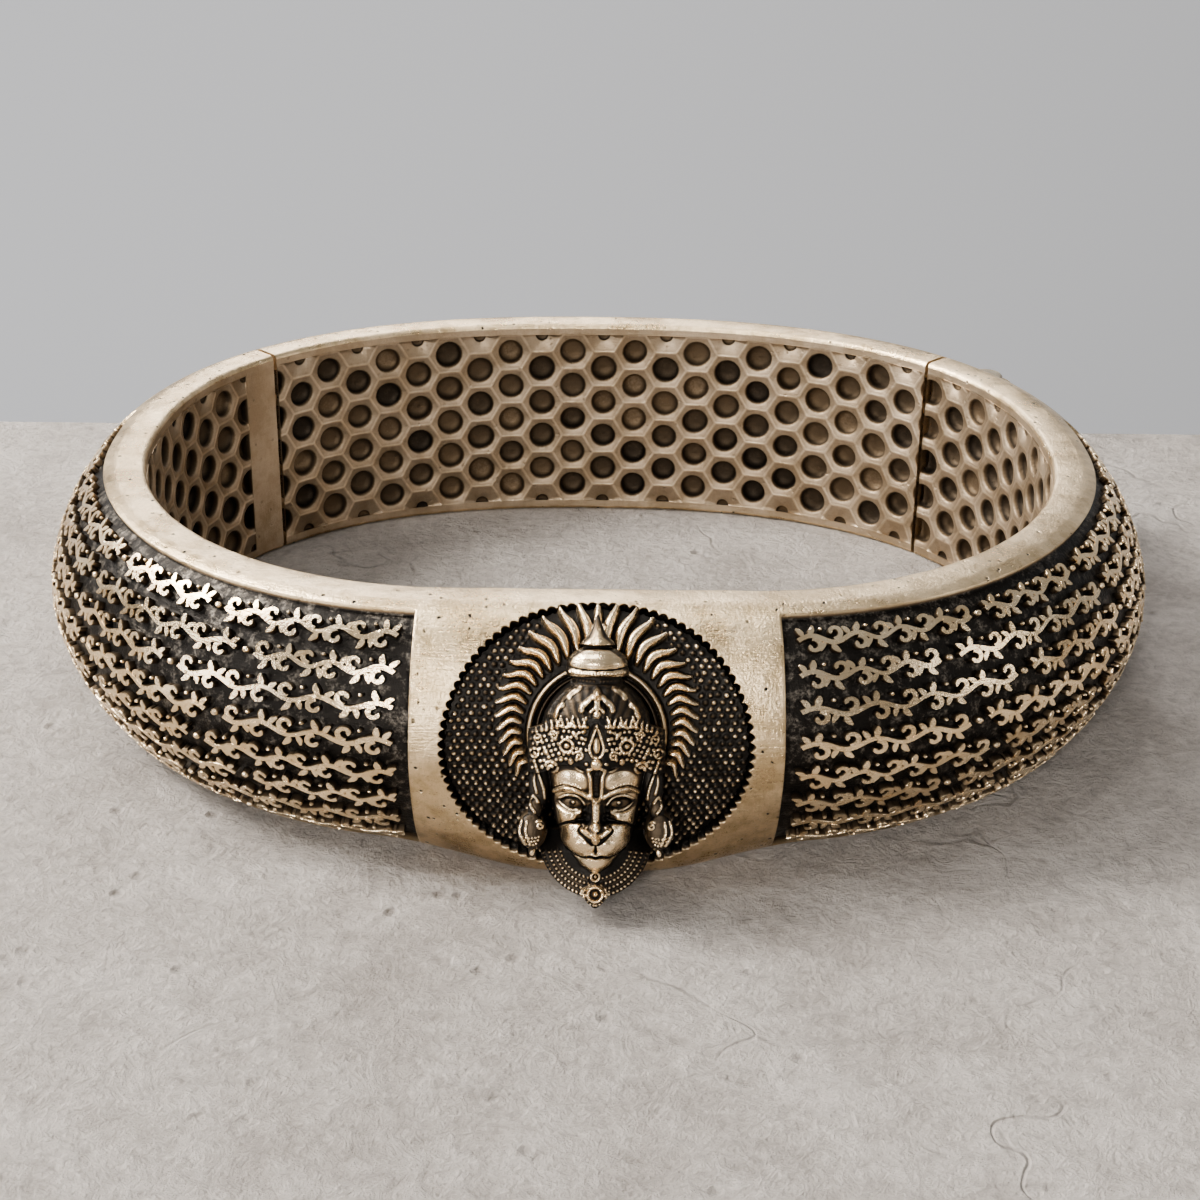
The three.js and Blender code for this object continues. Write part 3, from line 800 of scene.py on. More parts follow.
@dataclass
class Band:
    """One arc of the band without its lining: domed outside, rims and ends."""

    shape: BandShape
    hinge: Hinge
    panel: Panel
    arc: Arc
    field_half: float = 10.3
    seat_radius: float = 8.98
    scallop: float = 0.13
    seat_depth: float = 1.3
    tongue_offset: float = 3.5
    slot_half: tuple[float, float] = (0.95, 2.8)
    slot_depth: float = 2.8
    end_wear: float = 0.85
    slot_wear: float = 0.1
    row_count: int = 68
    column_pitch: float = 0.6
    panel_pitch: float = 0.3
    seam_pitch: float = 0.2
    seam_reach: float = 4.0
    edge_step: float = 0.1
    rim_pitch: float = 0.45
    rim_waves: int = 90
    unevenness: float = 0.012
    hammer_seed: int = 11
    rim_seed: int = 5

    @property
    def ends(self) -> tuple[float, float]:
        """Return the arc lengths where this arc of the band starts and ends."""
        if self.arc is Arc.FRONT:
            return -(SEAM_ARC - SEAM_GAP / 2), SEAM_ARC - SEAM_GAP / 2
        return SEAM_ARC + SEAM_GAP / 2, self.shape.plan.length - SEAM_ARC - SEAM_GAP / 2

    def body(self) -> Patchwork:
        """Return the outside, the rims and the two ends."""
        patches = Patchwork()
        low, high = self.ends
        if self.arc is Arc.FRONT:
            self._field(patches)
            self._outside(patches, low, -self.field_half)
            self._outside(patches, self.field_half, high)
        else:
            self._outside(patches, low, high)
        self._rims(patches, low, high)
        self._end(patches, low, True)
        self._end(patches, high, False)
        return patches

    def _rise_lines(self) -> Array:
        """Return section lengths for the rows of the outside, close together at edges."""
        half = self.shape.section.half
        edge = self.panel.half_height
        upper = [edge - self.edge_step, edge, half - 0.12, half - 0.04]
        lines = [np.linspace(-half, half, self.row_count), upper, np.negative(upper)]
        return np.unique(np.concatenate(lines))

    def _arc_lines(self, low: float, high: float) -> Array:
        """Return arc lengths for the columns of the outside, close together at edges."""
        start, end = self.panel.start, self.panel.end
        lines = [
            np.arange(low, high, self.column_pitch), [high],
            np.arange(SEAM_ARC - self.seam_reach, SEAM_ARC + self.seam_reach, self.seam_pitch),
        ]
        for side in (-1, 1):
            for edge in (start, end - self.edge_step):
                lines.append([side * edge, side * (edge + self.edge_step)])
            if self.arc is Arc.FRONT:
                lines.append(side * np.arange(start, end, self.panel_pitch))
        together = np.unique(np.concatenate(lines))
        return together[(together >= low) & (together <= high)]

    def _outside(self, patches: Patchwork, low: float, high: float) -> None:
        """Add a stretch of the domed outside with its sunk panel."""
        arc, rise = np.meshgrid(self._arc_lines(low, high), self._rise_lines())
        sink = self.panel.lift(arc, rise) if self.arc is Arc.FRONT else np.zeros_like(arc)
        random = np.random.default_rng(self.hammer_seed)
        ground = sink < -0.8 * self.panel.depth
        hammered = random.normal(0, self.unevenness, sink.shape) * ground
        points = self.shape.on_dome(arc, rise, sink + hammered)
        points = self.hinge.make_room(points, self.arc.side)
        patches.grid(points, 1 - smooth_step(0.03, 0.14, -sink))

    def _field(self, patches: Patchwork) -> None:
        """Add the plain front field round the medallion, with its scalloped edge."""
        half = self.shape.section.half
        across = self.field_half
        corners = [
            math.atan2(y - MEDALLION_RISE, x)
            for x in (-across, across) for y in (-half, half)
        ]
        turn = np.union1d(np.linspace(-math.pi, math.pi, SCALLOPS * 8 + 1)[:-1], corners)
        edge = self.seat_radius + self.scallop * (
            2 * np.abs(np.sin(turn * SCALLOPS / 2)) ** 0.7 - 1.2)
        top = (half - MEDALLION_RISE) / np.maximum(np.sin(turn), TINY)
        bottom = (-half - MEDALLION_RISE) / np.minimum(np.sin(turn), -TINY)
        aside = across / np.maximum(np.abs(np.cos(turn)), TINY)
        border = np.minimum(aside, np.where(np.sin(turn) > 0, top, bottom))
        edge = np.minimum(edge, border - 0.05)
        lip = edge + 0.07
        rings = [(edge, -self.seat_depth, 0.0), (edge, -0.22, 0.0), (edge + 0.02, -0.06, 0.45),
                 (lip, 0.0, 0.95)]
        rings += [(lip + (border - lip) * share, 0.0, 1.0)
                  for share in np.linspace(0.02, 1.0, 12) ** 1.5]
        rows = [self.shape.on_dome(reach * np.cos(turn), MEDALLION_RISE + reach * np.sin(turn), lift)
                for reach, lift, _ in rings]
        patches.sheet(rows, [wear for _, _, wear in rings], flip=True, closed=True)

    def _rims(self, patches: Patchwork, low: float, high: float) -> None:
        """Add the flat rims with their eased inner edges."""
        arc = np.append(np.arange(low, high, self.rim_pitch), high)
        random = np.random.default_rng(self.rim_seed)
        waves = random.normal(0, self.unevenness, self.rim_waves)
        wave = np.interp(arc, np.linspace(low, high, self.rim_waves), waves)
        chamfer = RIM_CHAMFER
        profile = [
            (0.0, -chamfer), (chamfer * 0.12, -chamfer * 0.6), (chamfer * 0.45, -chamfer * 0.2),
            (chamfer, 0.0), (RIM_WIDTH - 0.12, 0.0), (RIM_WIDTH, -0.005),
        ]
        for top in (True, False):
            rows = []
            for offset, drop in profile:
                drop = drop + wave * (0.0 < offset < RIM_WIDTH)
                height = BAND_HEIGHT + drop if top else -drop + np.abs(wave)
                rows.append(self.shape.at(arc, offset, height))
            points = self.hinge.make_room(np.stack(rows), self.arc.side)
            patches.grid(points, 1.0, flip=not top)

    def _section_ring(self, arc: float) -> Array:
        """Return the closed outline of the section at an arc length."""
        half = self.shape.section.half
        rise = np.linspace(-half, half, 60)
        outside = self.shape.on_dome(arc, rise, self.panel.lift(np.array(arc), rise))
        outside = self.hinge.make_room(outside, self.arc.side)
        lower = [(0.0, BAND_HEIGHT * 0.25), (0.0, RIM_CHAMFER), (RIM_CHAMFER, 0.0)]
        upper = [(offset, BAND_HEIGHT - height) for offset, height in lower[::-1]]
        inner = np.array([*upper, (0.0, BAND_HEIGHT * 0.5), *lower])
        return np.vstack([outside, self.shape.at(arc, inner[:, 0], inner[:, 1])])

    def _end(self, patches: Patchwork, arc: float, first: bool) -> None:
        """Add the flat end of the arc, with the clasp's slot on the clasp side."""
        ring = self._section_ring(arc)
        centre = self.shape.at(arc, self.tongue_offset, BAND_HEIGHT / 2)
        if abs(arc - SEAM_ARC) < SEAM_GAP:
            patches.fan(ring, centre, self.end_wear, flip=first)
            return
        out = np.append(self.shape.plan.outward(np.array(arc)), 0.0)
        along = np.array([-out[1], out[0], 0.0])
        inward = along if first else -along
        local = np.stack([(ring - centre) @ out, ring[:, 2] - centre[2]], -1)
        reach = np.abs(local) / np.array(self.slot_half)
        mouth = local / reach.max(1, keepdims=True)
        slot = centre + mouth[:, :1] * out + mouth[:, 1:] * (0, 0, 1)
        floor = slot + inward * self.slot_depth
        patches.grid(np.stack([ring, slot]), self.end_wear, closed=True, flip=not first)
        patches.grid(np.stack([slot, floor]), self.slot_wear, closed=True, flip=not first)
        patches.fan(floor, floor.mean(0), self.slot_wear, flip=first)


@dataclass
class Lining:
    """Inner wall with its honeycomb of blind holes."""

    shape: BandShape
    low: float
    high: float
    plain_until: float
    column_pitch: float = 2.511
    hole_pitch: float = 2.9
    hole_radius: float = 1.0
    hole_depth: float = 0.95
    border: float = 0.85
    sides: int = 24
    cell_reach: float = 1.7
    edge_radius: float = 0.5
    edge_depth: float = 0.3
    tones: tuple[float, float] = (0.05, 0.46)
    least_width: float = 0.02
    strip_pitch: float = 0.45
    seed: int = 23

    def build(self) -> Patchwork:
        """Return the wall as one cell after another, with plain borders."""
        patches = Patchwork()
        random = np.random.default_rng(self.seed)
        start = max(self.low, self.plain_until)
        first = math.floor((start - self.cell_reach) / self.column_pitch)
        last = math.ceil((self.high + self.cell_reach) / self.column_pitch)
        for column in range(first, last + 1):
            odd = column % 2
            count = 5 if odd else 6
            base = self.border + (self.hole_pitch / 2 if odd else 0.0)
            for k in range(count):
                height = base + k * self.hole_pitch
                edge_cell = not odd and k in (0, count - 1)
                self._cell(patches, column * self.column_pitch, height, edge_cell, start, random)
        self._borders(patches, start)
        return patches

    def _cell(self, patches: Patchwork, arc: float, height: float, edge_cell: bool,
              start: float, random: np.random.Generator) -> None:
        """Add one hexagon with its blind hole.

        Args:
            patches: where the faces go.
            arc: arc length of the hole's centre.
            height: height of the hole's centre.
            edge_cell: whether the border cuts the hole in half.
            start: arc length where the holes begin.
            random: source of the small differences between holes.
        """
        span = np.clip(arc + np.array([-self.cell_reach, self.cell_reach]), start, self.high)
        turn = np.arange(self.sides) * FULL_TURN / self.sides
        apothem = self.hole_pitch / 2
        hexagon = apothem / np.cos(np.mod(turn, math.pi / 3) - math.pi / 6)
        radius = self.hole_radius * (self.edge_radius if edge_cell else 1.0)
        radius *= random.uniform(0.95, 1.04)
        depth = self.hole_depth * (self.edge_depth if edge_cell else random.uniform(0.6, 1.1))
        tone = random.uniform(*self.tones)
        hole = radius * (1 + 0.02 * np.sin(turn * 2 + random.uniform(0, 6.28)))
        if np.ptp(span) < self.least_width:
            return
        rings = [
            (hexagon, -0.04, 0.95), (hexagon * 0.95, -0.03, 0.85), (hexagon * 0.90, 0.0, 0.66),
            (hole * 1.12, 0.01, 0.72), (hole * 1.02, 0.09, 0.45),
            (hole * 0.96, depth * 0.5, tone * 0.4), (hole * 0.86, depth * 0.86, tone * 0.8),
            (hole * 0.55, depth, tone), (hole * 0.25, depth * 1.03, tone),
        ]
        rows = []
        for reach, sink, _ in rings:
            along = np.clip(arc - reach * np.cos(turn), start, self.high)
            rise = np.clip(height + reach * np.sin(turn), self.border, BAND_HEIGHT - self.border)
            rows.append(self.shape.at(along, sink, rise))
        patches.sheet(rows, [wear for _, _, wear in rings], closed=True)
        if np.ptp(rows[-1][:, 2]) > self.least_width:
            patches.fan(rows[-1], rows[-1].mean(0), tone)

    def _borders(self, patches: Patchwork, start: float) -> None:
        """Add the plain strips above and below the holes, and beside them."""
        arc = np.append(np.arange(self.low, self.high, self.strip_pitch), self.high)
        top = BAND_HEIGHT - self.border
        self._strip(patches, arc, np.linspace(RIM_CHAMFER, self.border, 3), 0.86)
        self._strip(patches, arc, np.linspace(top, BAND_HEIGHT - RIM_CHAMFER, 3), 0.86)
        if start > self.low + self.least_width:
            arc = np.linspace(self.low, start, 9)
            self._strip(patches, arc, np.linspace(self.border, top, 30), 0.84)

    def _strip(self, patches: Patchwork, arc: Array, heights: Array, wear: float) -> None:
        """Add plain wall between heights."""
        patches.grid(self.shape.at(arc, np.array(0.0), heights[:, None]), wear, flip=True)


# Raised scroll ornament

@dataclass
class Ribbons:
    """Raised strokes laid on the dome, each a flat-topped ribbon with sloped black sides."""

    shape: BandShape
    top: float
    bottom: float
    side: int
    foot_reach: float = 1.28
    flat_reach: float = 0.86
    widening: float = 0.03
    bevel: float = 0.06
    stagger: float = 0.012
    count: int = 0
    patches: Patchwork = field(default_factory=Patchwork)

    def stroke(self, arc: Array, rise: Array, half: Array | float) -> None:
        """Add one stroke.

        Args:
            arc: arc lengths of its middle line, on the right-hand panel.
            rise: section lengths of its middle line.
            half: half widths of its top.
        """
        points = np.stack([arc, rise], -1)
        along = np.gradient(points, axis=0)
        along /= np.maximum(np.linalg.norm(along, axis=1, keepdims=True), TINY)
        normal = np.stack([-along[:, 1], along[:, 0]], -1)
        half = np.broadcast_to(half, (len(points),))[:, None]
        self.count += 1
        top = self.top - self.stagger * (self.count % 4)
        edge = [(self.foot_reach, self.bottom, 0.0), (1.0, top - self.bevel, 0.5),
                (self.flat_reach, top, 1.0)]
        edge += [(-reach, lift, wear) for reach, lift, wear in edge[::-1]]
        rows = []
        for reach, lift, _ in edge:
            flat = points + normal * half * reach + normal * (self.widening * np.sign(reach))
            rows.append(self.shape.on_dome(self.side * flat[:, 0], flat[:, 1], lift))
        self.patches.sheet(rows, [wear for _, _, wear in edge], flip=self.side < 0)
        quads = np.array([[0, 1, 4, 5], [1, 2, 3, 4]])
        for place, turned in ((0, self.side < 0), (-1, self.side > 0)):
            end = np.array([row[place] for row in rows])
            self.patches.add(end, np.array([0, 0.3, 0.9, 0.9, 0.3, 0.0]),
                             quads[:, ::-1] if turned else quads)

    def spiral(self, arc: float, rise: float, radius: float, start: float, sweep: float,
               half: float) -> None:
        """Add a curl that winds in to its own middle."""
        share = np.linspace(0, 1, 15)
        turn = start + sweep * share
        reach = radius * (1 - 0.80 * share)
        width = half * (1.0 - 0.35 * share)
        self.stroke(arc + reach * np.cos(turn), rise + reach * np.sin(turn), width)

    def leaf(self, arc: float, rise: float, length: float, heading: float, half: float) -> None:
        """Add a small bent leaf that swells in its middle."""
        share = np.linspace(0, 1, 8)
        bend = heading + 0.7 * (share - 0.3)
        step = length / 7
        x = arc + np.cumsum(np.cos(bend)) * step
        y = rise + np.cumsum(np.sin(bend)) * step
        self.stroke(x, y, half * (0.22 + 1.15 * np.sin(share ** 0.8 * math.pi)))

    def dot(self, arc: float, rise: float, radius: float, sides: int = 10) -> None:
        """Add a round berry with a domed top."""
        turn = np.arange(sides) * FULL_TURN / sides
        rings = ((1.25, self.bottom, 0.0), (1.05, self.top - 0.14, 0.35),
                 (0.75, self.top, 1.0), (0.3, self.top + 0.04, 1.0))
        rows = []
        for reach, lift, _ in rings:
            across, up = radius * reach * np.cos(turn), radius * reach * np.sin(turn)
            rows.append(self.shape.on_dome(self.side * (arc + across), rise + up, lift))
        self.patches.sheet(rows, [wear for _, _, wear in rings], self.side < 0, closed=True)
        self.patches.fan(rows[-1], rows[-1].mean(0), 1.0, flip=self.side < 0)


@dataclass(frozen=True)
class Leaf:
    """Where a leaf grows from the stem, and the ranges that its length and heading lie in."""

    back: float
    rise: float
    length: tuple[float, float]
    heading: tuple[float, float]
    width: float


@dataclass
class ScrollRows:
    """Rows of running scrolls: a waving stem with curls, leaves and berries on both sides."""

    shape: BandShape
    panel: Panel
    side: int
    lengths: tuple[float, ...] = (9.4, 7.0, 11.2, 8.2)
    wave_length: float = 2.5
    wave_height: float = 0.24
    berry: float = 0.2
    small_berry: float = 0.11
    least_spray: float = 3.0
    seed: int = 70
    phase: float = 0.3
    lean: float = 0.06
    curl_shift: float = 0.10
    curl_drop: float = 0.40
    berry_back: float = 0.60
    berry_drop: float = 0.62
    curl_size: tuple[float, float] = (0.43, 0.50)
    curl_sweep: tuple[float, float] = (4.6, 5.4)
    leaves: tuple[Leaf, ...] = (
        Leaf(0.10, 0.24, (0.58, 0.70), (1.0, 1.35), 0.85),
        Leaf(0.34, 0.14, (0.52, 0.64), (1.9, 2.3), 0.75),
    )

    def build(self) -> Patchwork:
        """Return the rows of one panel."""
        ribbons = Ribbons(self.shape, -self.panel.below_dome, -self.panel.depth - 0.05, self.side)
        random = np.random.default_rng(self.seed + self.side)
        for row in range(self.panel.rows):
            rise = ((self.panel.rows - 1) / 2 - row) * self.panel.row_pitch
            start = self.panel.start + self.panel.first_gap
            stop = self.panel.end - self.panel.margin
            for turn in itertools.count(row):
                length = self.lengths[turn % len(self.lengths)]
                if start + length > stop:
                    break
                self._spray(ribbons, start, length, rise, random)
                ribbons.dot(start + length + self.panel.margin / 2, rise, self.berry)
                start += length + self.panel.margin
            if stop - start > self.least_spray:
                self._spray(ribbons, start, stop - start, rise, random)
        return ribbons.patches

    def _spray(self, ribbons: Ribbons, start: float, length: float, rise: float,
               random: np.random.Generator) -> None:
        """Add one spray: its stem, and what grows from each of its waves."""
        waves = max(1, round(length / self.wave_length))
        pitch = length / waves
        share = np.linspace(0, 1, waves * 10 + 1)
        phase = random.uniform(-self.phase, self.phase)
        arc = start + share * length
        height = rise + self.wave_height * np.sin(share * waves * FULL_TURN + phase)
        half = self.panel.stroke / 2
        ribbons.stroke(arc, height, half * (0.9 + 0.15 * np.sin(share * 9)))
        for k in range(waves * 2):
            up = 1 if k % 2 == 0 else -1
            middle = start + (k + 0.5) * pitch / 2
            size = random.uniform(*self.curl_size)
            lean = random.uniform(-self.lean, self.lean)
            ribbons.spiral(
                middle + self.curl_shift + lean, rise - up * self.curl_drop, size,
                up * math.pi / 2, -up * random.uniform(*self.curl_sweep), half * 0.95)
            for leaf in self.leaves:
                ribbons.leaf(middle - leaf.back, rise + up * leaf.rise,
                             random.uniform(*leaf.length), up * random.uniform(*leaf.heading),
                             half * leaf.width)
            if k % 2 == 1:
                ribbons.dot(middle - self.berry_back, rise - up * self.berry_drop,
                            self.small_berry)


# Reliefs on a square grid

FAR = 99.0
Line = Sequence[tuple[float, float]]

# Places along one direction, and the values there
Profile = tuple[tuple[float, ...], tuple[float, ...]]


@dataclass
class Relief:
    """A relief over a square grid: heights, wear and the distance inside its outline."""

    across: Array
    up: Array
    step: float
    height: Array
    wear: Array
    inside: Array

    @classmethod
    def over(cls, left: float, right: float, low: float, high: float, step: float,
             level: float) -> "Relief":
        """Return a flat relief over a rectangle, with nothing inside its outline yet."""
        across, up = np.meshgrid(np.arange(left, right, step), np.arange(low, high, step))
        return cls(across, up, step, np.full_like(across, level), np.ones_like(across),
                   np.full_like(across, -FAR))

    def near(self, path: Line) -> tuple[Array, Array]:
        """Return the distance to a path, and how far along it the nearest place is."""
        points = np.asarray(path, float)
        if len(points) > 2:
            points = curved(points, 6)
        best = np.full_like(self.across, FAR)
        share = np.zeros_like(self.across)
        window = 1.6
        box = (self.across > points[:, 0].min() - window) & (
            self.across < points[:, 0].max() + window)
        box &= (self.up > points[:, 1].min() - window) & (self.up < points[:, 1].max() + window)
        x, y = self.across[box], self.up[box]
        near, where = np.full_like(x, FAR), np.zeros_like(x)
        lengths = np.hypot(*np.diff(points, axis=0).T)
        total = lengths.sum()
        run = 0.0
        for first, second, length in zip(points[:-1], points[1:], lengths):
            way = second - first
            t = np.clip(((x - first[0]) * way[0] + (y - first[1]) * way[1])
                        / max(length * length, TINY), 0, 1)
            gap = np.hypot(x - first[0] - t * way[0], y - first[1] - t * way[1])
            closer = gap < near
            near[closer] = gap[closer]
            where[closer] = (run + t[closer] * length) / total
            run += length
        best[box] = near
        share[box] = where
        return best, share

    def ridge(self, path: Line, radius: float, rise: float,
              wear: float | None = None, taper: float = 0.0, both: bool = True,
              flame: bool = False) -> None:
        """Raise a rounded ridge along a path, or sink a groove with a rise below zero.

        Args:
            path: the ridge's middle line.
            radius: half its width.
            rise: its height over what it lies on.
            wear: the wear of its crest, where it changes.
            taper: how much narrower its end is than its start.
            both: whether the other half of the head gets the same.
            flame: whether it is widest in its middle and thin at both its ends.
        """
        for side in (1, -1) if both else (1,):
            gap, share = self.near([(x * side, y) for x, y in path])
            width = radius * (1 - taper * share)
            if flame:
                width *= 0.36 + 0.64 * np.sin(np.clip(share, 0, 1) ** 0.85 * math.pi)
            form = np.clip(1 - (gap / width) ** 2, 0, 1)
            self.height += rise * np.sqrt(form) * smooth_step(0, 0.35, form + 0.05)
            if wear is not None:
                self.wear += (wear - self.wear) * smooth_step(0.05, 0.5, form)

    def knob(self, x: float, y: float, radius: float | tuple[float, float], rise: float,
             wear: float | None = None, both: bool = True, power: float = 0.5) -> None:
        """Raise a rounded knob, or sink a hollow with a rise below zero."""
        wide, tall = radius if isinstance(radius, tuple) else (radius, radius)
        for side in (1, -1) if both and x else (1,):
            form = 1 - ((self.across - side * x) / wide) ** 2 - ((self.up - y) / tall) ** 2
            form = np.clip(form, 0, 1)
            self.height += rise * form ** power
            if wear is not None:
                self.wear += (wear - self.wear) * smooth_step(0.0, 0.45, form)

    def beads(self, path: Line, pitch: float, radius: float, rise: float,
              wear: float = 1.0, both: bool = True) -> None:
        """Raise a string of beads along a path."""
        points = curved(np.asarray(path, float), 12) if len(path) > 2 else np.asarray(path)
        arcs = np.concatenate([[0], np.cumsum(np.hypot(*np.diff(points, axis=0).T))])
        for place in np.arange(pitch / 2, arcs[-1], pitch):
            x = float(np.interp(place, arcs, points[:, 0]))
            y = float(np.interp(place, arcs, points[:, 1]))
            self.spot(x, y, radius, rise, wear)
            if both:
                self.spot(-x, y, radius, rise, wear)

    def spot(self, x: float, y: float, radius: float, rise: float, wear: float) -> None:
        """Raise one small bead, working on the few places round it."""
        low, left = float(self.up[0, 0]), float(self.across[0, 0])
        reach = int(radius / self.step) + 2
        row, column = int((y - low) / self.step), int((x - left) / self.step)
        rows = slice(max(row - reach, 0), row + reach + 2)
        columns = slice(max(column - reach, 0), column + reach + 2)
        if row + reach < 0 or column + reach < 0:
            return
        form = 1 - ((self.across[rows, columns] - x) ** 2
                    + (self.up[rows, columns] - y) ** 2) / radius ** 2
        form = np.clip(form, 0, 1)
        self.height[rows, columns] += rise * np.sqrt(form)
        patch = self.wear[rows, columns]
        patch += (wear - patch) * smooth_step(0.25, 0.9, form)

    def age(self, reach: float, depth: float, strength: float = 0.85) -> None:
        """Blacken hollows and brighten crests: patina in small hollows, painted shade when the reach
        is wide.

        Args:
            reach: how wide the surroundings are that each place is compared with.
            depth: how far below them a place is black.
            strength: how black it gets.
        """
        spread = np.arange(-3 * reach, 3 * reach + self.step, self.step)
        kernel = np.exp(-0.5 * (spread / reach) ** 2)
        shown = (self.inside > 0).astype(float)
        level = soften(self.height * shown, kernel) / np.maximum(soften(shown, kernel), 1e-3)
        stand = self.height - level
        self.wear *= 1 - strength * (1 - smooth_step(-depth, depth * 0.25, stand))
        self.wear += (1 - self.wear) * 0.5 * smooth_step(0.02, 0.12, stand) * (self.wear > 0.2)

    def mesh(self, place: Callable[[Array, Array, Array], Array],
             back: Callable[[Array], Array]) -> Patchwork:
        """Return the relief cut to its outline, with a skirt and a back.

        Args:
            place: gives places from across, up and height.
            back: gives the height of the back from up.

        Returns:
            The closed relief.
        """
        quads = grid_quads(*self.across.shape)
        within = (self.inside > 0).ravel()
        quads = quads[within[quads].any(1)]
        slope_up, slope_across = np.gradient(self.inside, self.step)
        steep = np.maximum(slope_up ** 2 + slope_across ** 2, 0.05)
        pull = np.where(self.inside < 0, np.clip(-self.inside, 0, 2 * self.step) / steep, 0)
        across = (self.across + pull * slope_across).ravel()
        up = (self.up + pull * slope_up).ravel()
        used, flat = np.unique(quads, return_inverse=True)
        quads = flat.reshape(-1, 4)
        across, up = across[used], up[used]
        height, wear = self.height.ravel()[used], self.wear.ravel()[used]
        patches = Patchwork()
        front = place(across, up, height)
        patches.add(front, wear, quads)
        rear = place(across, up, np.minimum(back(up), height - 0.05))
        patches.add(rear, 0.5, quads[:, ::-1])
        edges = np.vstack([quads[:, [i, (i + 1) % 4]] for i in range(4)])
        forward = edges[:, 0] * len(used) + edges[:, 1]
        lone = edges[~np.isin(forward, edges[:, 1] * len(used) + edges[:, 0])]
        strip = np.stack([front[lone[:, 1]], front[lone[:, 0]], rear[lone[:, 0]],
                          rear[lone[:, 1]]], 1)
        patches.add(strip.reshape(-1, 3), np.tile([0.5, 0.5, 0.1, 0.1], len(lone)),
                    np.arange(4 * len(lone)).reshape(-1, 4))
        return patches


def soften(sheet: Array, kernel: Array) -> Array:
    """Return a sheet blurred along its rows and its columns."""
    for axis in (0, 1):
        sheet = np.apply_along_axis(np.convolve, axis, sheet, kernel / kernel.sum(), "same")
    return sheet


def curved(points: Array, steps: int) -> Array:
    """Return a smooth line through points."""
    whole = np.vstack([2 * points[0] - points[1], points, 2 * points[-1] - points[-2]])
    line = []
    share = np.linspace(0, 1, steps, endpoint=False)[:, None]
    for a, b, c, d in zip(whole[:-3], whole[1:-2], whole[2:-1], whole[3:]):
        line.append(0.5 * (2 * b + (c - a) * share + (2 * a - 5 * b + 4 * c - d) * share ** 2
                           + (3 * b - a - 3 * c + d) * share ** 3))
    return np.vstack(line + [points[-1:]])


@dataclass
class ViewPlane:
    """The plane that the head's forms are measured in, tilted back by 24 degrees."""

    shape: BandShape
    origin_y: float = -31.3
    origin_z: float = BAND_HEIGHT / 2
    bedding: float = 0.9
    clearance: float = 0.25
    least_height: float = 0.15
    overhang: float = 0.4

    def place(self, across: Array, up: Array, height: Array) -> Array:
        """Return places from the plane's own coordinates."""
        y = self.origin_y + up * math.sin(TILT) - height * math.cos(TILT)
        z = self.origin_z + up * math.cos(TILT) + height * math.sin(TILT)
        return np.stack([across, y, np.maximum(z, self.least_height)], -1)

    @cached_property
    def dome_line(self) -> tuple[Array, Array, Array]:
        """Return the dome in this plane: section lengths, upward places and heights."""
        half = self.shape.section.half
        rise = np.linspace(-half, half, 800)
        offset, height = self.shape.section.point(rise, np.zeros_like(rise))
        y = -self.shape.plan.front_depth - offset - self.origin_y
        z = height - self.origin_z
        return rise, y * math.sin(TILT) + z * math.cos(TILT), (
            z * math.sin(TILT) - y * math.cos(TILT))

    def up_of(self, rise: Array) -> Array:
        """Return the upward places in this plane of section lengths on the dome."""
        sections, ups, _ = self.dome_line
        return np.interp(rise, sections, ups)

    def back(self, up: Array) -> Array:
        """Return the heights of a back that lies in the dome or just over the floor."""
        _, ups, heights = self.dome_line
        low = int(np.argmin(ups))
        on_dome = np.interp(up, ups[low:], heights[low:]) - self.bedding
        floor = (self.clearance - self.origin_z - up * math.cos(TILT)) / math.sin(TILT)
        return np.where(up < ups[low] + self.overhang, floor, np.maximum(on_dome, floor))


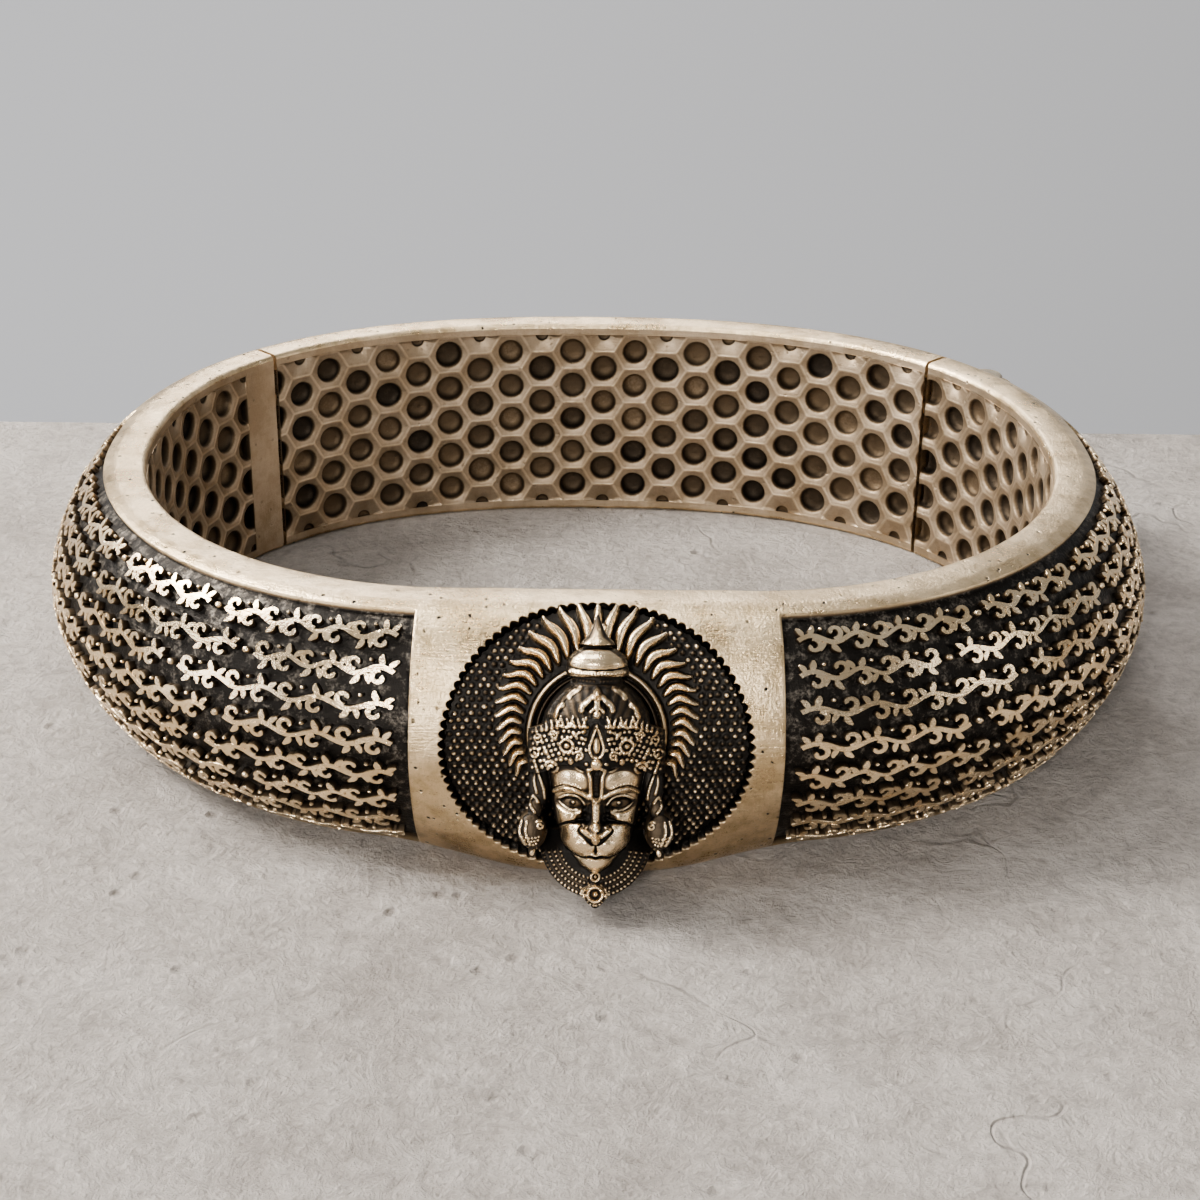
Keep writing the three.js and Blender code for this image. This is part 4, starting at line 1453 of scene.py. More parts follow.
@dataclass
class Medallion:
    """Round dark ground with granules, flame rays and the halo's double ridge.

    The rays' profiles run over degrees from straight up.
    """

    shape: BandShape
    plane: ViewPlane
    step: float = 0.075
    ray_count: int = 15
    ray_pitch: float = math.radians(7.6)
    fan_centre: float = 2.35
    halo_radius: float = 3.85
    first_ray: float = math.radians(6.0)
    ray_rise: float = 0.74
    grain_pitch: float = 0.50
    row_squeeze: float = 0.84
    grain_margin: float = 0.10
    seed: int = 41
    outer_reach: Profile = ((0, 38, 65, 90, 118), (7.9, 6.8, 6.3, 5.9, 5.4))
    ray_start: Profile = ((0, 36, 110), (5.0, 4.6, 4.3))
    ray_tip: Profile = ((0, 20, 38, 65, 85, 115), (7.75, 7.4, 6.6, 6.1, 5.7, 5.2))
    ray_sway: Profile = ((0, 40, 70, 110), (1.4, 3.6, 3.4, 3.0))
    ray_width: Profile = ((0, 40, 70, 110), (0.38, 0.31, 0.25, 0.23))

    def build(self) -> Patchwork:
        """Return the medallion as a closed relief laid on the dome."""
        reach = MEDALLION_RADIUS + 0.3
        relief = Relief.over(-reach, reach, -reach, reach, self.step, -GROUND_DEPTH)
        radius = np.hypot(relief.across, relief.up)
        turn = np.arctan2(relief.up, relief.across)
        edge = MEDALLION_RADIUS + 0.05 - 0.11 * np.abs(np.cos(turn * SCALLOPS / 2))
        relief.inside = edge - radius
        relief.wear[:] = 0.0
        up_plane = self.plane.up_of(relief.up + MEDALLION_RISE)
        self._granules(relief)
        seen = Relief(relief.across, up_plane, self.step, relief.height, relief.wear,
                      relief.inside)
        self._rays(seen)
        self._halo(seen)
        relief.age(0.3, 0.08, 0.9)
        return relief.mesh(
            lambda across, up, lift: self.shape.on_dome(across, up + MEDALLION_RISE, lift),
            lambda up: np.full_like(up, -GROUND_DEPTH - 1.0))

    def _granules(self, relief: Relief) -> None:
        """Raise rows of small grains where no ray lies."""
        random = np.random.default_rng(self.seed)
        across = int(2 * MEDALLION_RADIUS / self.grain_pitch) + 2
        places = range(-across // 2, across // 2 + 1)
        for row in places:
            for column in places:
                x = (column + 0.5 * (row % 2)) * self.grain_pitch + random.normal(0, 0.03)
                y = row * self.grain_pitch * self.row_squeeze + random.normal(0, 0.03)
                if math.hypot(x, y) > MEDALLION_RADIUS - self.grain_margin:
                    continue
                size = random.uniform(0.14, 0.18)
                shine = 0.15 + 0.75 * random.random() ** 2
                relief.spot(x, y, size, random.uniform(0.14, 0.20), shine)

    def _polar(self, turn: Array, reach: Array) -> list[tuple[float, float]]:
        """Return places about the fan's centre; turn is from straight up."""
        return list(zip(reach * np.sin(turn), self.fan_centre + reach * np.cos(turn)))

    def _rays(self, seen: Relief) -> None:
        """Raise the wavy flame rays."""
        share = np.linspace(0, 1, 7)
        gap = np.hypot(seen.across, seen.up - self.fan_centre)
        degrees = np.degrees(np.abs(np.arctan2(seen.across, seen.up - self.fan_centre)))
        behind = (gap < np.interp(degrees, *self.outer_reach)) & (degrees < 122)
        seen.wear[behind] = 0.0
        seen.height[behind] = -GROUND_DEPTH
        for k in range(self.ray_count):
            start = self.first_ray + k * self.ray_pitch
            inner, tip, sway, width = (
                float(np.interp(math.degrees(start), *profile))
                for profile in (self.ray_start, self.ray_tip, self.ray_sway, self.ray_width))
            wave = share - 0.8 * np.sin(share ** 1.2 * 1.5 * math.pi)
            path = self._polar(start + math.radians(sway) * wave, inner + (tip - inner) * share)
            seen.ridge(path, width, self.ray_rise, 1.0, flame=True)
        seen.ridge(self._polar(np.zeros(3), np.linspace(5.0, 7.7, 3)), 0.34, 0.6, 1.0,
                   both=False, flame=True)

    def _halo(self, seen: Relief) -> None:
        """Raise the halo: two ridges with a dark channel between them."""
        turn = np.radians(np.linspace(0, 112, 16))
        for radius, width, rise, wear in ((self.halo_radius + 0.06, 0.20, 0.75, 0.22),
                                          (self.halo_radius - 0.38, 0.15, 0.6, 0.12)):
            seen.ridge(self._polar(turn, np.full_like(turn, radius)), width, rise, wear)


@dataclass
class GuardianHead:
    """Crowned animal-faced head, sculpted as one relief in its own plane."""

    shape: BandShape
    plane: ViewPlane
    step: float = 0.049
    tiara_top: Profile = ((0, 0.9, 2.0, 3.0, 3.9), (3.4, 3.3, 3.25, 3.0, 2.7))
    tiara_low: Profile = ((0, 0.5, 1.0, 2.2, 3.0, 3.9), (0.6, 0.62, 0.85, 0.85, 0.35, 0.2))
    collar_wide: float = 3.28
    collar_tall: float = 3.12
    collar_centre: float = -3.9
    seed: int = 8

    def build(self) -> Patchwork:
        """Return the head with crown, ear drops, collar and pendant."""
        relief = Relief.over(-4.6, 4.6, -7.9, 9.6, self.step, -3.0)
        self._collar(relief)
        self._ear_drops(relief)
        self._skull(relief)
        self._finial(relief)
        self._muzzle(relief)
        self._eyes(relief)
        self._brow(relief)
        self._crown(relief)
        self._tiara(relief)
        # painted shade: this wide pass darkens the sockets, the face under the tiara and the sides
        # of the cheeks; the narrow pass after it is patina in small hollows
        relief.age(0.65, 0.34, 0.75)
        relief.age(0.20, 0.07, 0.95)
        return relief.mesh(self.plane.place, self.plane.back)

    @staticmethod
    def _lay(relief: Relief, inside: Array, height: Array, wear: float) -> None:
        """Add a form: its own outline, and its height where it is the highest."""
        shown = inside > -2 * relief.step
        higher = shown & ((height > relief.height) | (relief.inside < -relief.step))
        relief.height = np.where(higher, height, relief.height)
        relief.wear = np.where(higher, wear, relief.wear)
        relief.inside = np.maximum(relief.inside, inside)

    @staticmethod
    def _girth(relief: Relief, rows: Sequence[Triple]) -> tuple[Array, Array, Array]:
        """Return what a form's rows of (up, half width, crest height) give over the relief.

        Args:
            relief: where the form goes.
            rows: the form's rows, from the lowest to the highest.

        Returns:
            The half widths, the crest heights and the distance inside the form.
        """
        ups, widths, crests = zip(*rows)
        half = np.interp(relief.up, ups, widths)
        inside = np.minimum(half - np.abs(relief.across), relief.up - ups[0])
        return half, np.interp(relief.up, ups, crests), np.minimum(inside, ups[-1] - relief.up)

    def _skull(self, relief: Relief) -> None:
        """Lay the face and the crown's body."""
        half, top, inside = self._girth(relief, (
            (-5.62, 0.05, 0.10), (-5.45, 0.55, 0.38), (-5.1, 1.0, 0.62), (-4.7, 1.32, 0.78),
            (-4.2, 1.74, 0.92), (-3.7, 2.04, 1.02), (-3.1, 2.18, 1.10), (-2.5, 2.38, 1.16),
            (-1.4, 2.58, 1.26), (-0.4, 2.64, 1.50), (0.8, 2.85, 1.72), (2.2, 3.15, 1.95),
            (3.6, 3.0, 1.98), (4.4, 2.55, 1.75), (5.0, 2.05, 1.35), (5.5, 1.5, 0.8)))
        side = np.abs(relief.across) / np.maximum(half, 0.05)
        fall = 2.1 * (1 - np.sqrt(np.clip(1 - side ** 2.4, 0, 1)))
        self._lay(relief, inside, top - fall, 0.92)

    def _finial(self, relief: Relief) -> None:
        """Lay the neck ring, beaded band, bulb and cone over the crown."""
        half, top, inside = self._girth(relief, (
            (5.05, 1.5, 1.25), (5.3, 1.5, 1.20), (5.32, 1.42, 1.05), (5.72, 1.42, 1.00),
            (5.76, 1.74, 1.26), (5.95, 1.82, 1.34), (6.18, 1.80, 1.28), (6.24, 1.74, 1.30),
            (6.5, 1.74, 1.34), (6.8, 1.62, 1.24), (7.05, 1.38, 1.06), (7.24, 1.08, 0.84),
            (7.36, 0.80, 0.52), (7.44, 0.76, 0.48), (7.5, 0.94, 0.62), (7.58, 0.98, 0.72),
            (7.75, 0.84, 0.62), (8.0, 0.58, 0.44), (8.35, 0.36, 0.24), (9.25, 0.05, -0.30)))
        side = np.clip(np.abs(relief.across) / np.maximum(half, 0.05), 0, 1)
        fall = 0.75 * half * (1 - np.sqrt(1 - side ** 2))
        self._lay(relief, inside, top - fall, 1.0)
        neck = (relief.up > 5.25) & (relief.up < 5.72) & (np.abs(relief.across) < 1.5)
        relief.wear[neck] = 0.15
        relief.ridge([(0.0, 7.38), (0.4, 7.37), (0.75, 7.32)], 0.09, -0.12, 0.0)
        bow = [(0.0, 5.88), (0.9, 5.93), (1.75, 6.05)]
        relief.ridge([(x, y + 0.24) for x, y in bow], 0.07, -0.08, 0.05)
        relief.beads(bow, 0.19, 0.10, 0.10)
        relief.beads([(0.1, 5.5), (0.8, 5.52), (1.4, 5.58)], 0.2, 0.08, 0.06, 0.5)

    def _muzzle(self, relief: Relief) -> None:
        """Raise the muzzle's two lobes, nose, mouth and chin."""
        relief.knob(0.92, -3.45, (1.15, 0.98), 0.55, 1.0, power=0.7)
        relief.knob(0.0, -4.1, (1.5, 0.75), 0.20, None, both=False, power=0.8)
        relief.knob(0.0, -4.95, (1.05, 0.42), 0.24, 0.95, both=False, power=0.7)
        relief.knob(1.9, -2.3, (0.75, 0.85), 0.22, 0.95, power=0.8)
        # painted shade as well as patina: the hollows beside the nose and the crease over the muzzle
        # lobes are darkened
        relief.knob(0.70, -2.32, (0.50, 0.42), -0.22, 0.15, power=0.8)
        relief.ridge([(0.62, -2.40), (1.15, -2.48), (1.7, -2.58), (2.15, -2.85)], 0.17, -0.26, 0.0,
                     taper=0.5)
        relief.knob(0.60, -1.95, (0.26, 0.50), -0.26, 0.0, power=0.8)
        relief.ridge([(0.80, -2.72), (0.95, -2.98), (0.62, -3.30), (0.16, -3.74)], 0.10, -0.24, 0.0)
        relief.ridge([(0.0, -1.2), (0.0, -2.0), (0.0, -2.75)], 0.24, 0.42, 1.0, both=False)
        relief.ridge([(0.0, -2.7), (0.0, -3.45)], 0.34, 0.50, 1.0, taper=0.3, both=False)
        relief.ridge([(0.12, -3.3), (0.45, -3.1), (0.78, -2.88)], 0.20, 0.34, 1.0, taper=0.3)
        relief.ridge([(0.34, -1.55), (0.34, -2.2), (0.50, -2.6)], 0.12, -0.20, 0.05, taper=0.2)
        relief.ridge([(0.0, -3.78), (0.0, -4.25)], 0.09, -0.22, 0.05, both=False)
        relief.ridge([(0.0, -4.56), (0.35, -4.50), (0.8, -4.56), (1.3, -4.40), (1.72, -4.12)],
                     0.11, -0.30, 0.0, taper=0.4)
        relief.ridge([(0.0, -4.42), (0.25, -4.36), (0.6, -4.40)], 0.12, 0.10, 1.0)

    def _eyes(self, relief: Relief) -> None:
        """Carve the sockets and raise eyeballs and lids; sockets and the upper-lid groove are
        darkened with patina and painted shade.
        """
        middle = (1.36, -1.42)
        # painted shade as well as patina: the socket is darkened
        relief.knob(*middle, (0.98, 0.60), -0.40, 0.35, power=0.8)
        relief.knob(*middle, (0.58, 0.30), 0.30, 0.30, power=0.6)
        upper = [(0.66, -1.64), (0.95, -1.27), (1.34, -1.12), (1.75, -1.16), (2.08, -1.34)]
        lower = [(0.66, -1.64), (1.05, -1.72), (1.45, -1.70), (1.8, -1.56), (2.08, -1.34)]
        relief.ridge([(x, y + 0.11) for x, y in upper], 0.10, 0.18, 1.0)
        relief.ridge([(x, y - 0.09) for x, y in lower[1:]], 0.08, 0.12, 0.9)
        # painted shadow as well as patina: the dark groove along the upper lid
        relief.ridge(upper, 0.085, -0.10, 0.0)
        relief.ridge(lower, 0.05, -0.07, 0.0)
        relief.knob(1.34, -1.41, 0.22, 0.02, 0.0, power=0.5)
        relief.knob(1.30, -1.37, 0.09, 0.08, 1.0, power=0.5)

    def _brow(self, relief: Relief) -> None:
        """Raise forehead, brows and the forehead mark."""
        relief.knob(1.25, -0.15, (1.15, 0.75), 0.22, 1.0, power=0.8)
        brow = [(0.40, -1.05), (0.8, -0.84), (1.4, -0.62), (1.95, -0.60), (2.46, -0.88)]
        relief.ridge(brow, 0.17, 0.26, 1.0, taper=0.3)
        relief.ridge([(x, y + 0.20) for x, y in brow[1:]], 0.06, -0.10, 0.1)
        relief.beads([(x, y + 0.27) for x, y in brow[1:]], 0.17, 0.075, 0.08)
        relief.ridge([(0.0, 0.45), (0.0, -0.98)], 0.16, -0.10, 0.1, taper=0.3, both=False)
        mark = [(0.46, 0.45), (0.34, 0.12), (0.31, -0.4), (0.29, -0.9), (0.18, -1.20),
                (0.0, -1.28)]
        relief.ridge(mark, 0.12, 0.30, 1.0)
        relief.beads([(0.0, 0.3), (0.0, -0.95)], 0.18, 0.075, 0.10, 0.7, both=False)

    def _crown(self, relief: Relief) -> None:
        """Chase the crown: striations, side folds and the trefoil."""
        zone = (relief.up > 2.9) & (relief.up < 5.25) & (relief.inside > 0)
        zone &= np.abs(relief.across) < 3.4
        angle = np.arctan2(relief.across, relief.up - 0.2)
        hair = np.cos(angle * 56)
        relief.wear[zone] = (0.11 + 0.08 * hair)[zone]
        relief.height[zone] += (0.02 * hair)[zone]
        for shift, shine in ((0.0, 0.30), (0.5, 0.15)):
            fold = [(2.95 - shift, 3.2), (2.7 - shift, 4.0), (2.1 - shift * 0.8, 4.75),
                    (1.55 - shift * 0.5, 5.1)]
            relief.ridge(fold, 0.12, 0.14, shine)
        relief.ridge([(0.95, 5.15), (1.5, 4.75), (1.6, 4.6)], 0.15, 0.12, 0.5)
        relief.ridge([(2.35, 3.55), (2.2, 3.95), (1.95, 4.2)], 0.15, 0.14, 0.85)
        wing = [(0.0, 4.92), (0.40, 4.52), (0.80, 4.18), (0.88, 3.92)]
        relief.ridge(wing, 0.21, 0.32, 1.0, taper=0.15)
        relief.ridge([(0.0, 5.0), (0.0, 4.1)], 0.22, 0.26, 1.0, both=False)
        relief.ridge([(0.20, 4.02), (0.36, 3.84)], 0.10, 0.18, 1.0)
        relief.ridge([(0.27, 4.44), (0.50, 4.15), (0.52, 3.95)], 0.07, -0.20, 0.0)
        relief.knob(0.0, 3.68, 0.24, 0.26, 1.0, both=False)

    def _tiara(self, relief: Relief) -> None:
        """Lay the tiara with rosettes, swirls, beads, its drop and its round boss."""
        across = np.abs(relief.across)
        top = np.interp(across, *self.tiara_top)
        low = np.interp(across, *self.tiara_low)
        inside = np.minimum(np.minimum(top - relief.up, relief.up - low), 3.95 - across)
        height = 2.12 - 0.15 * across ** 2 + 0.06 * np.clip(inside, 0, 0.3) / 0.3
        self._lay(relief, inside, height, 0.0)
        self._tiara_beads(relief)
        for x in np.arange(0.66, 3.5, 0.31):
            edge = self._tiara_edge(x)
            relief.ridge([(x, edge - 0.28), (x + 0.04, edge - 0.05), (x + 0.10, edge + 0.14)],
                         0.11, 0.20, 1.0, taper=0.6)
        for x, y, radius in ((1.70, 1.90, 0.36), (3.55, 1.35, 0.26), (3.35, 2.2, 0.22)):
            self._rosette(relief, x, y, radius)
        for x, y, radius in ((0.98, 1.36, 0.27), (2.55, 0.55, 0.42), (2.45, 2.45, 0.26)):
            self._swirl(relief, x, y, radius)
        for x, y, size in ((1.45, 1.02, 0.17), (2.0, 1.15, 0.14), (2.9, 1.5, 0.16),
                           (0.72, 2.75, 0.14), (1.2, 2.55, 0.15)):
            relief.knob(x, y, size, 0.20, 1.0)
        for x in (0.75, 1.5, 2.2):
            relief.ridge([(x, 3.05), (x - 0.08, 3.3), (x - 0.16, 3.55)], 0.12, 0.16, 0.95,
                         taper=0.6)
        relief.knob(0.0, 2.1, (0.52, 1.12), -0.14, 0.0, both=False)
        relief.ridge([(0.0, 3.05), (0.24, 2.4), (0.40, 1.80), (0.24, 1.35), (0.0, 1.28)], 0.09,
                     0.26, 1.0)
        relief.knob(0.0, 1.95, (0.24, 0.55), 0.20, 0.75, both=False)
        relief.knob(0.0, 0.90, 0.34, 0.42, 1.0, both=False)
        relief.ridge([(0.30, 0.62), (0.75, 0.46), (1.2, 0.66)], 0.09, 0.12, 0.8)
        relief.ridge([(3.55, 0.9), (3.3, 0.1), (3.02, -0.7), (2.92, -1.3)], 0.10, 0.22, 0.85)

    def _tiara_edge(self, x: float) -> float:
        """Return how high the tiara's upper edge is beside its front."""
        return float(np.interp(max(x, self.tiara_top[0][1]), *self.tiara_top))

    def _tiara_beads(self, relief: Relief) -> None:
        """Raise the tiara's beads, with room left for the largest rosette and swirl."""
        random = np.random.default_rng(self.seed)
        rows = 7
        for row in range(rows):
            for k in range(12):
                x = 0.60 + (k + 0.5 * (row % 2)) * 0.28
                low = float(np.interp(x, *self.tiara_low))
                y = low + 0.12 + (self._tiara_edge(x) - low - 0.24) * (row + 0.5) / rows
                if math.hypot(x - 1.7, y - 1.9) < 0.42 or math.hypot(x - 0.95, y - 1.35) < 0.3:
                    continue
                size = random.uniform(0.11, 0.14)
                spread = random.normal(0, 0.03, 2)
                for side in (1, -1):
                    relief.spot(side * (x + spread[0]), y + spread[1], size, 0.20,
                                random.uniform(0.7, 1.0))

    @staticmethod
    def _rosette(relief: Relief, x: float, y: float, radius: float) -> None:
        """Raise a ring with a round middle."""
        turn = np.linspace(0, FULL_TURN, 13)
        ring = list(zip(x + radius * np.cos(turn), y + radius * np.sin(turn)))
        relief.ridge(ring, radius * 0.26, 0.20, 1.0)
        relief.knob(x, y, radius * 0.45, 0.24, 1.0)

    @staticmethod
    def _swirl(relief: Relief, x: float, y: float, radius: float) -> None:
        """Raise a small spiral."""
        share = np.linspace(0, 1, 16)
        turn = 0.8 + 8.4 * share
        reach = radius * (1 - 0.82 * share)
        relief.ridge(list(zip(x + reach * np.cos(turn), y + reach * np.sin(turn))),
                     radius * 0.24, 0.18, 1.0)

    def _ear_drops(self, relief: Relief) -> None:
        """Lay the ears and the bell-shaped ear drops."""
        across = np.abs(relief.across)
        for x, y, wide, tall, level, wear in (
                (3.25, -0.5, 0.62, 1.5, -0.35, 0.12), (3.68, -3.15, 0.78, 1.00, 0.05, 0.14),
                (3.66, -4.36, 0.19, 0.28, -0.2, 0.9), (3.5, -2.0, 0.42, 0.6, -0.1, 0.15)):
            reach = np.sqrt(((across - x) / wide) ** 2 + ((relief.up - y) / tall) ** 2)
            inside = (1 - reach) * min(wide, tall)
            height = level + 0.55 * min(wide, tall) * np.sqrt(np.clip(1 - reach ** 2, 0, 1))
            self._lay(relief, inside, height, wear)
        relief.ridge([(4.25, -2.5), (4.38, -3.2), (4.05, -3.9)], 0.10, 0.20, 1.0)
        relief.ridge([(3.95, -2.6), (4.0, -3.2), (3.75, -3.9)], 0.07, 0.12, 0.8)
        for height, spread in ((-3.45, 0.55), (-3.65, 0.5), (-3.85, 0.4)):
            relief.beads([(3.7 - spread, height), (3.7, height - 0.1), (3.7 + spread, height)],
                         0.19, 0.08, 0.12)
        self._swirl(relief, 3.18, -2.80, 0.28)
        relief.ridge([(3.3, -1.5), (3.62, -1.2), (3.8, -1.6), (3.5, -2.1)], 0.09, 0.14, 0.75)
        relief.ridge([(3.45, 0.5), (3.55, -0.3), (3.4, -1.0)], 0.09, 0.16, 0.6)

    def _collar_row(self, scale: float, last: float, places: int) -> Line:
        """Return one row of the collar, from its side to the last of its degrees."""
        turn = np.radians(np.linspace(12, last, places))
        return list(zip(self.collar_wide * scale * np.cos(turn),
                        self.collar_centre - self.collar_tall * scale * np.sin(turn)))

    def _collar(self, relief: Relief) -> None:
        """Lay the beaded collar, its rosette and the pendant."""
        across = np.abs(relief.across)
        reach = np.hypot(relief.across / self.collar_wide,
                         (relief.up - self.collar_centre) / self.collar_tall)
        inside = np.minimum((1 - reach) * 3.0, -3.2 - relief.up)
        height = -0.18 - 0.15 * across ** 2 + 0.10 * (1 - reach)
        self._lay(relief, inside, height, 0.0)
        pendant = 0.62 - np.hypot(relief.across, relief.up + 6.85)
        self._lay(relief, pendant, np.full_like(across, 0.05), 0.25)
        drop = 0.34 - np.hypot(relief.across * 1.1, relief.up + 7.25)
        self._lay(relief, drop, np.full_like(across, -0.02), 0.6)
        for scale, radius, shine in ((0.960, 0.115, 1.0), (0.850, 0.10, 0.9), (0.745, 0.10, 0.8),
                                     (0.64, 0.09, 0.7)):
            relief.beads(self._collar_row(scale, 83, 14), 0.25, radius, 0.15, shine)
        for scale in (0.905, 0.80, 0.69):
            relief.ridge(self._collar_row(scale, 80, 12), 0.05, 0.06, 0.2)
        self._rosette(relief, 0.0, -5.78, 0.24)
        self._rosette(relief, 0.0, -6.75, 0.42)
        relief.ridge([(0.66, -6.5), (0.78, -6.75), (0.62, -7.05)], 0.12, 0.16, 0.9)
        relief.beads([(0.5, -7.15), (0.25, -7.34), (0.0, -7.42)], 0.2, 0.09, 0.14)


# The stage

@dataclass(frozen=True)
class Lamp:
    """A square soft light aimed at the bangle: place and size in millimetres, power in watts."""

    name: str
    place: Triple
    power: float
    size: float
    colour: Colour


LAMPS = (
    Lamp("key", (-290, 40, 270), 5.2, 150, (1.0, 0.97, 0.93)),
    Lamp("back", (-60, 340, 260), 0.9, 180, (0.99, 0.98, 1.0)),
    Lamp("front", (-100, -360, 160), 1.25, 60, (1.0, 0.965, 0.92)),
    Lamp("top", (-70, -30, 420), 0.9, 120, (1.0, 0.98, 0.95)),
    Lamp("window", (-330, -150, 60), 0.45, 70, (0.97, 0.98, 1.0)),
    Lamp("side", (330, -140, 110), 0.22, 90, (1.0, 0.97, 0.94)),
)
WORLD_STOPS = (
    (0.35, (0.10, 0.095, 0.09)), (0.5, (0.26, 0.26, 0.26)), (0.72, (0.62, 0.62, 0.63)),
    (1.0, (0.85, 0.86, 0.88)),
)


@dataclass
class Studio:
    """Stone floor, grey backdrop, soft lights, a graded world and the camera."""

    shape: BandShape
    lens: float = 62.8
    elevation: float = math.radians(24.5)
    distance: float = 148.4
    roll: float = math.radians(0.63)
    shift: tuple[float, float] = (0.001, -0.042)
    floor_back: float = 45.5
    floor_half: float = 900.0
    edge_run: float = 6.0
    edge_drop: float = 60.0
    wall_half: float = 3000.0
    wall_distance: float = 1200.0
    wall_heights: tuple[float, float] = (-1500.0, 1800.0)
    aim_height: float = 8.0
    world_strength: float = 0.46
    sensor: float = 36.0
    clip: tuple[float, float] = (0.005, 20.0)

    def build(self) -> None:
        """Make the whole stage."""
        self._floor()
        self._lights()
        self._world()
        self._camera()

    def _slab(self, name: str, corners: Sequence[Triple],
              material: bpy.types.Material) -> None:
        """Add one flat piece of the stage."""
        mesh = bpy.data.meshes.new(name)
        mesh.from_pydata([Vector(c) * MILLIMETRE for c in corners], [], [tuple(range(4))])
        mesh.materials.append(material)
        made = bpy.data.objects.new(name, mesh)
        bpy.context.scene.collection.objects.link(made)

    def _floor(self) -> None:
        """Add the stone slab, its back edge and the backdrop."""
        stone = StoneFinish("floor_stone", (0.68, 0.61, 0.545), (0.44, 0.385, 0.335),
                            (0.20, 0.165, 0.135))
        grey = BackdropFinish("backdrop_grey", (0.76, 0.76, 0.78), (0.54, 0.54, 0.55), 0.78)
        back, reach = self.floor_back, self.floor_half
        drop = (back + self.edge_run, -self.edge_drop)
        floor = stone.make()
        self._slab("floor", [(-reach, -reach, 0), (reach, -reach, 0), (reach, back, 0),
                             (-reach, back, 0)], floor)
        self._slab("floor_edge", [(-reach, back, 0), (reach, back, 0), (reach, *drop),
                                  (-reach, *drop)], floor)
        half, (low, high) = self.wall_half, self.wall_heights
        away = self.wall_distance
        self._slab("backdrop", [(-half, away, low), (half, away, low), (half, away, high),
                                (-half, away, high)], grey.make())

    def _lights(self) -> None:
        """Add the soft lights."""
        for lamp in LAMPS:
            light = bpy.data.lights.new(lamp.name, "AREA")
            light.energy = lamp.power
            light.size = lamp.size * MILLIMETRE
            light.color = lamp.colour
            made = bpy.data.objects.new(lamp.name, light)
            made.location = Vector(lamp.place) * MILLIMETRE
            towards = Vector((0, 0, self.aim_height)) * MILLIMETRE - made.location
            made.rotation_euler = towards.to_track_quat("-Z", "Y").to_euler()
            bpy.context.scene.collection.objects.link(made)

    def _world(self) -> None:
        """Add a world that is graded from dark below to pale above."""
        world = bpy.data.worlds.new("studio")
        world.use_nodes = True
        sky = Nodes(world.node_tree)
        where = sky.wire(sky.node("ShaderNodeTexCoord"), "Generated")
        height = sky.wire(sky.node("ShaderNodeSeparateXYZ", sockets={0: where}), "Z")
        share = sky.node("ShaderNodeMapRange", sockets={"Value": height, "From Min": -1.0})
        ramp = sky.node("ShaderNodeValToRGB", {"stops": WORLD_STOPS}, {0: sky.wire(share)})
        background = sky.tree.nodes["Background"]
        sky.tree.links.new(ramp.outputs[0], background.inputs["Color"])
        background.inputs["Strength"].default_value = self.world_strength
        bpy.context.scene.world = world

    def _camera(self) -> None:
        """Add the camera at the photograph's angle."""
        lens = bpy.data.cameras.new("camera")
        lens.lens = self.lens
        lens.sensor_width = self.sensor
        lens.sensor_fit = "HORIZONTAL"
        lens.shift_x, lens.shift_y = self.shift
        lens.clip_start, lens.clip_end = self.clip
        made = bpy.data.objects.new("camera", lens)
        away = Vector((0, -math.cos(self.elevation), math.sin(self.elevation)))
        target = Vector((0, self.shape.plan_shift, BAND_HEIGHT / 2))
        made.location = (target + away * self.distance) * MILLIMETRE
        turn = Euler((math.pi / 2 - self.elevation, 0, 0)).to_matrix()
        made.rotation_euler = (turn @ Euler((0, 0, self.roll)).to_matrix()).to_euler()
        bpy.context.scene.collection.objects.link(made)
        bpy.context.scene.camera = made


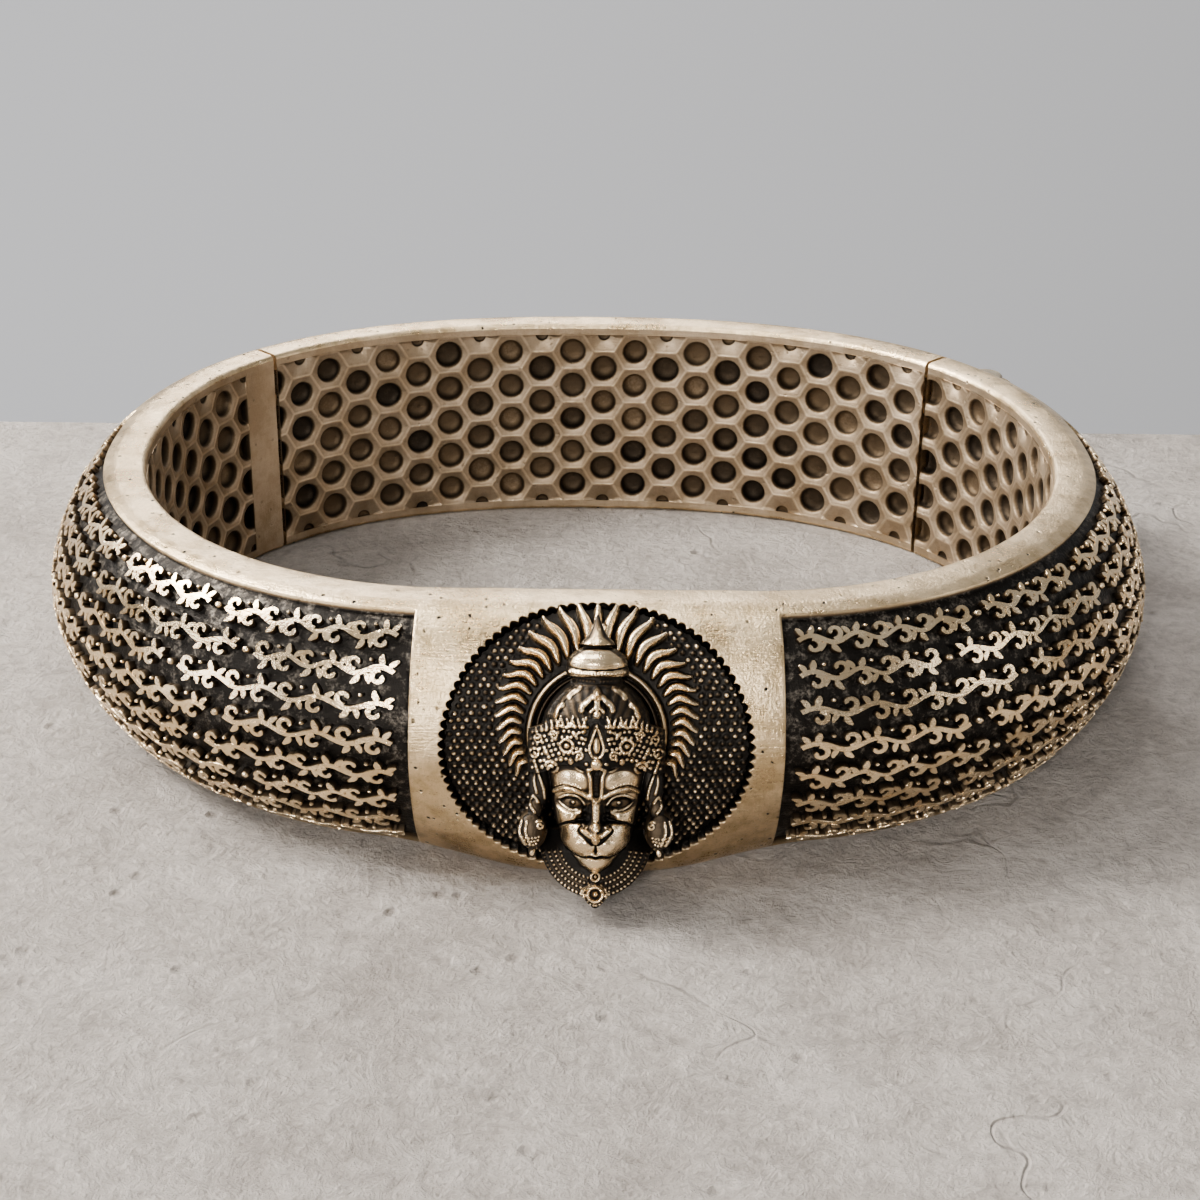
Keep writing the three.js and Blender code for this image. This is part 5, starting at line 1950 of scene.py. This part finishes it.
def main() -> None:
    """Build every piece of the kada and its stage, in order."""
    logging.basicConfig(level=logging.INFO, format="%(name)s %(message)s")
    shape = BandShape()
    hinge = Hinge(shape)
    panel = Panel()
    plane = ViewPlane(shape)
    shift = shape.plan_shift
    plain = BrassFinish("band_brass").make()
    # painted shade as well as browner tone: the lining's brass is darker than the band's, for the
    # shade inside the band
    lining_shaded = BrassFinish("lining_brass_shaded", bright=(0.60, 0.47, 0.325), warm=(0.44, 0.33, 0.21),
                        bright_roughness=0.44, dark_roughness=0.6, pit_share=0.3, mottle=0.4,
                        worn_and_sheen_ground=(0.12, 0.09, 0.06)).make()
    carved = BrassFinish("relief_brass", bright=(0.98, 0.77, 0.49), warm=(0.80, 0.585, 0.33),
                         bright_roughness=0.25, pit_share=0.0, mottle=0.03).make()
    aged = BrassFinish("pin_brass", bright=(0.50, 0.42, 0.30), warm=(0.40, 0.33, 0.23),
                       bright_roughness=0.42, pit_share=0.3, least_wear=0.85).make()
    for arc in Arc:
        band = Band(shape, hinge, panel, arc)
        low, high = band.ends
        lining = Lining(shape, low, high, low + BARE_STRIP if arc is Arc.FRONT else low)
        for part, patches, material in (("metal", band.body(), plain),
                                        ("lining", lining.build(), lining_shaded),
                                        ("knuckles", hinge.knuckles(arc.side), plain)):
            piece = Piece(f"{arc.node}_{part}", arc.node, arc.body, "band_brass")
            make_piece(piece, patches, material, shift)
    for side, name in ((1, "right"), (-1, "left")):
        piece = Piece(f"front_scrolls_{name}", "front_band", "front", "band_brass", False)
        make_piece(piece, ScrollRows(shape, panel, side).build(), carved, shift)
    for name, relief in (("medallion_ground", Medallion(shape, plane)),
                         ("guardian_figure", GuardianHead(shape, plane))):
        piece = Piece(name, "guardian_head", "front", "relief_brass")
        make_piece(piece, relief.build(), carved, shift)
    make_piece(Piece("hinge_pin_turned", "hinge_pin", "front", "pin_brass"),
               hinge.pin(), aged, shift)
    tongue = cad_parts["clasp_tongue"]
    tongue.data.materials.clear()
    tongue.data.materials.append(aged)
    Studio(shape).build()


if __name__ == "__main__":
    main()
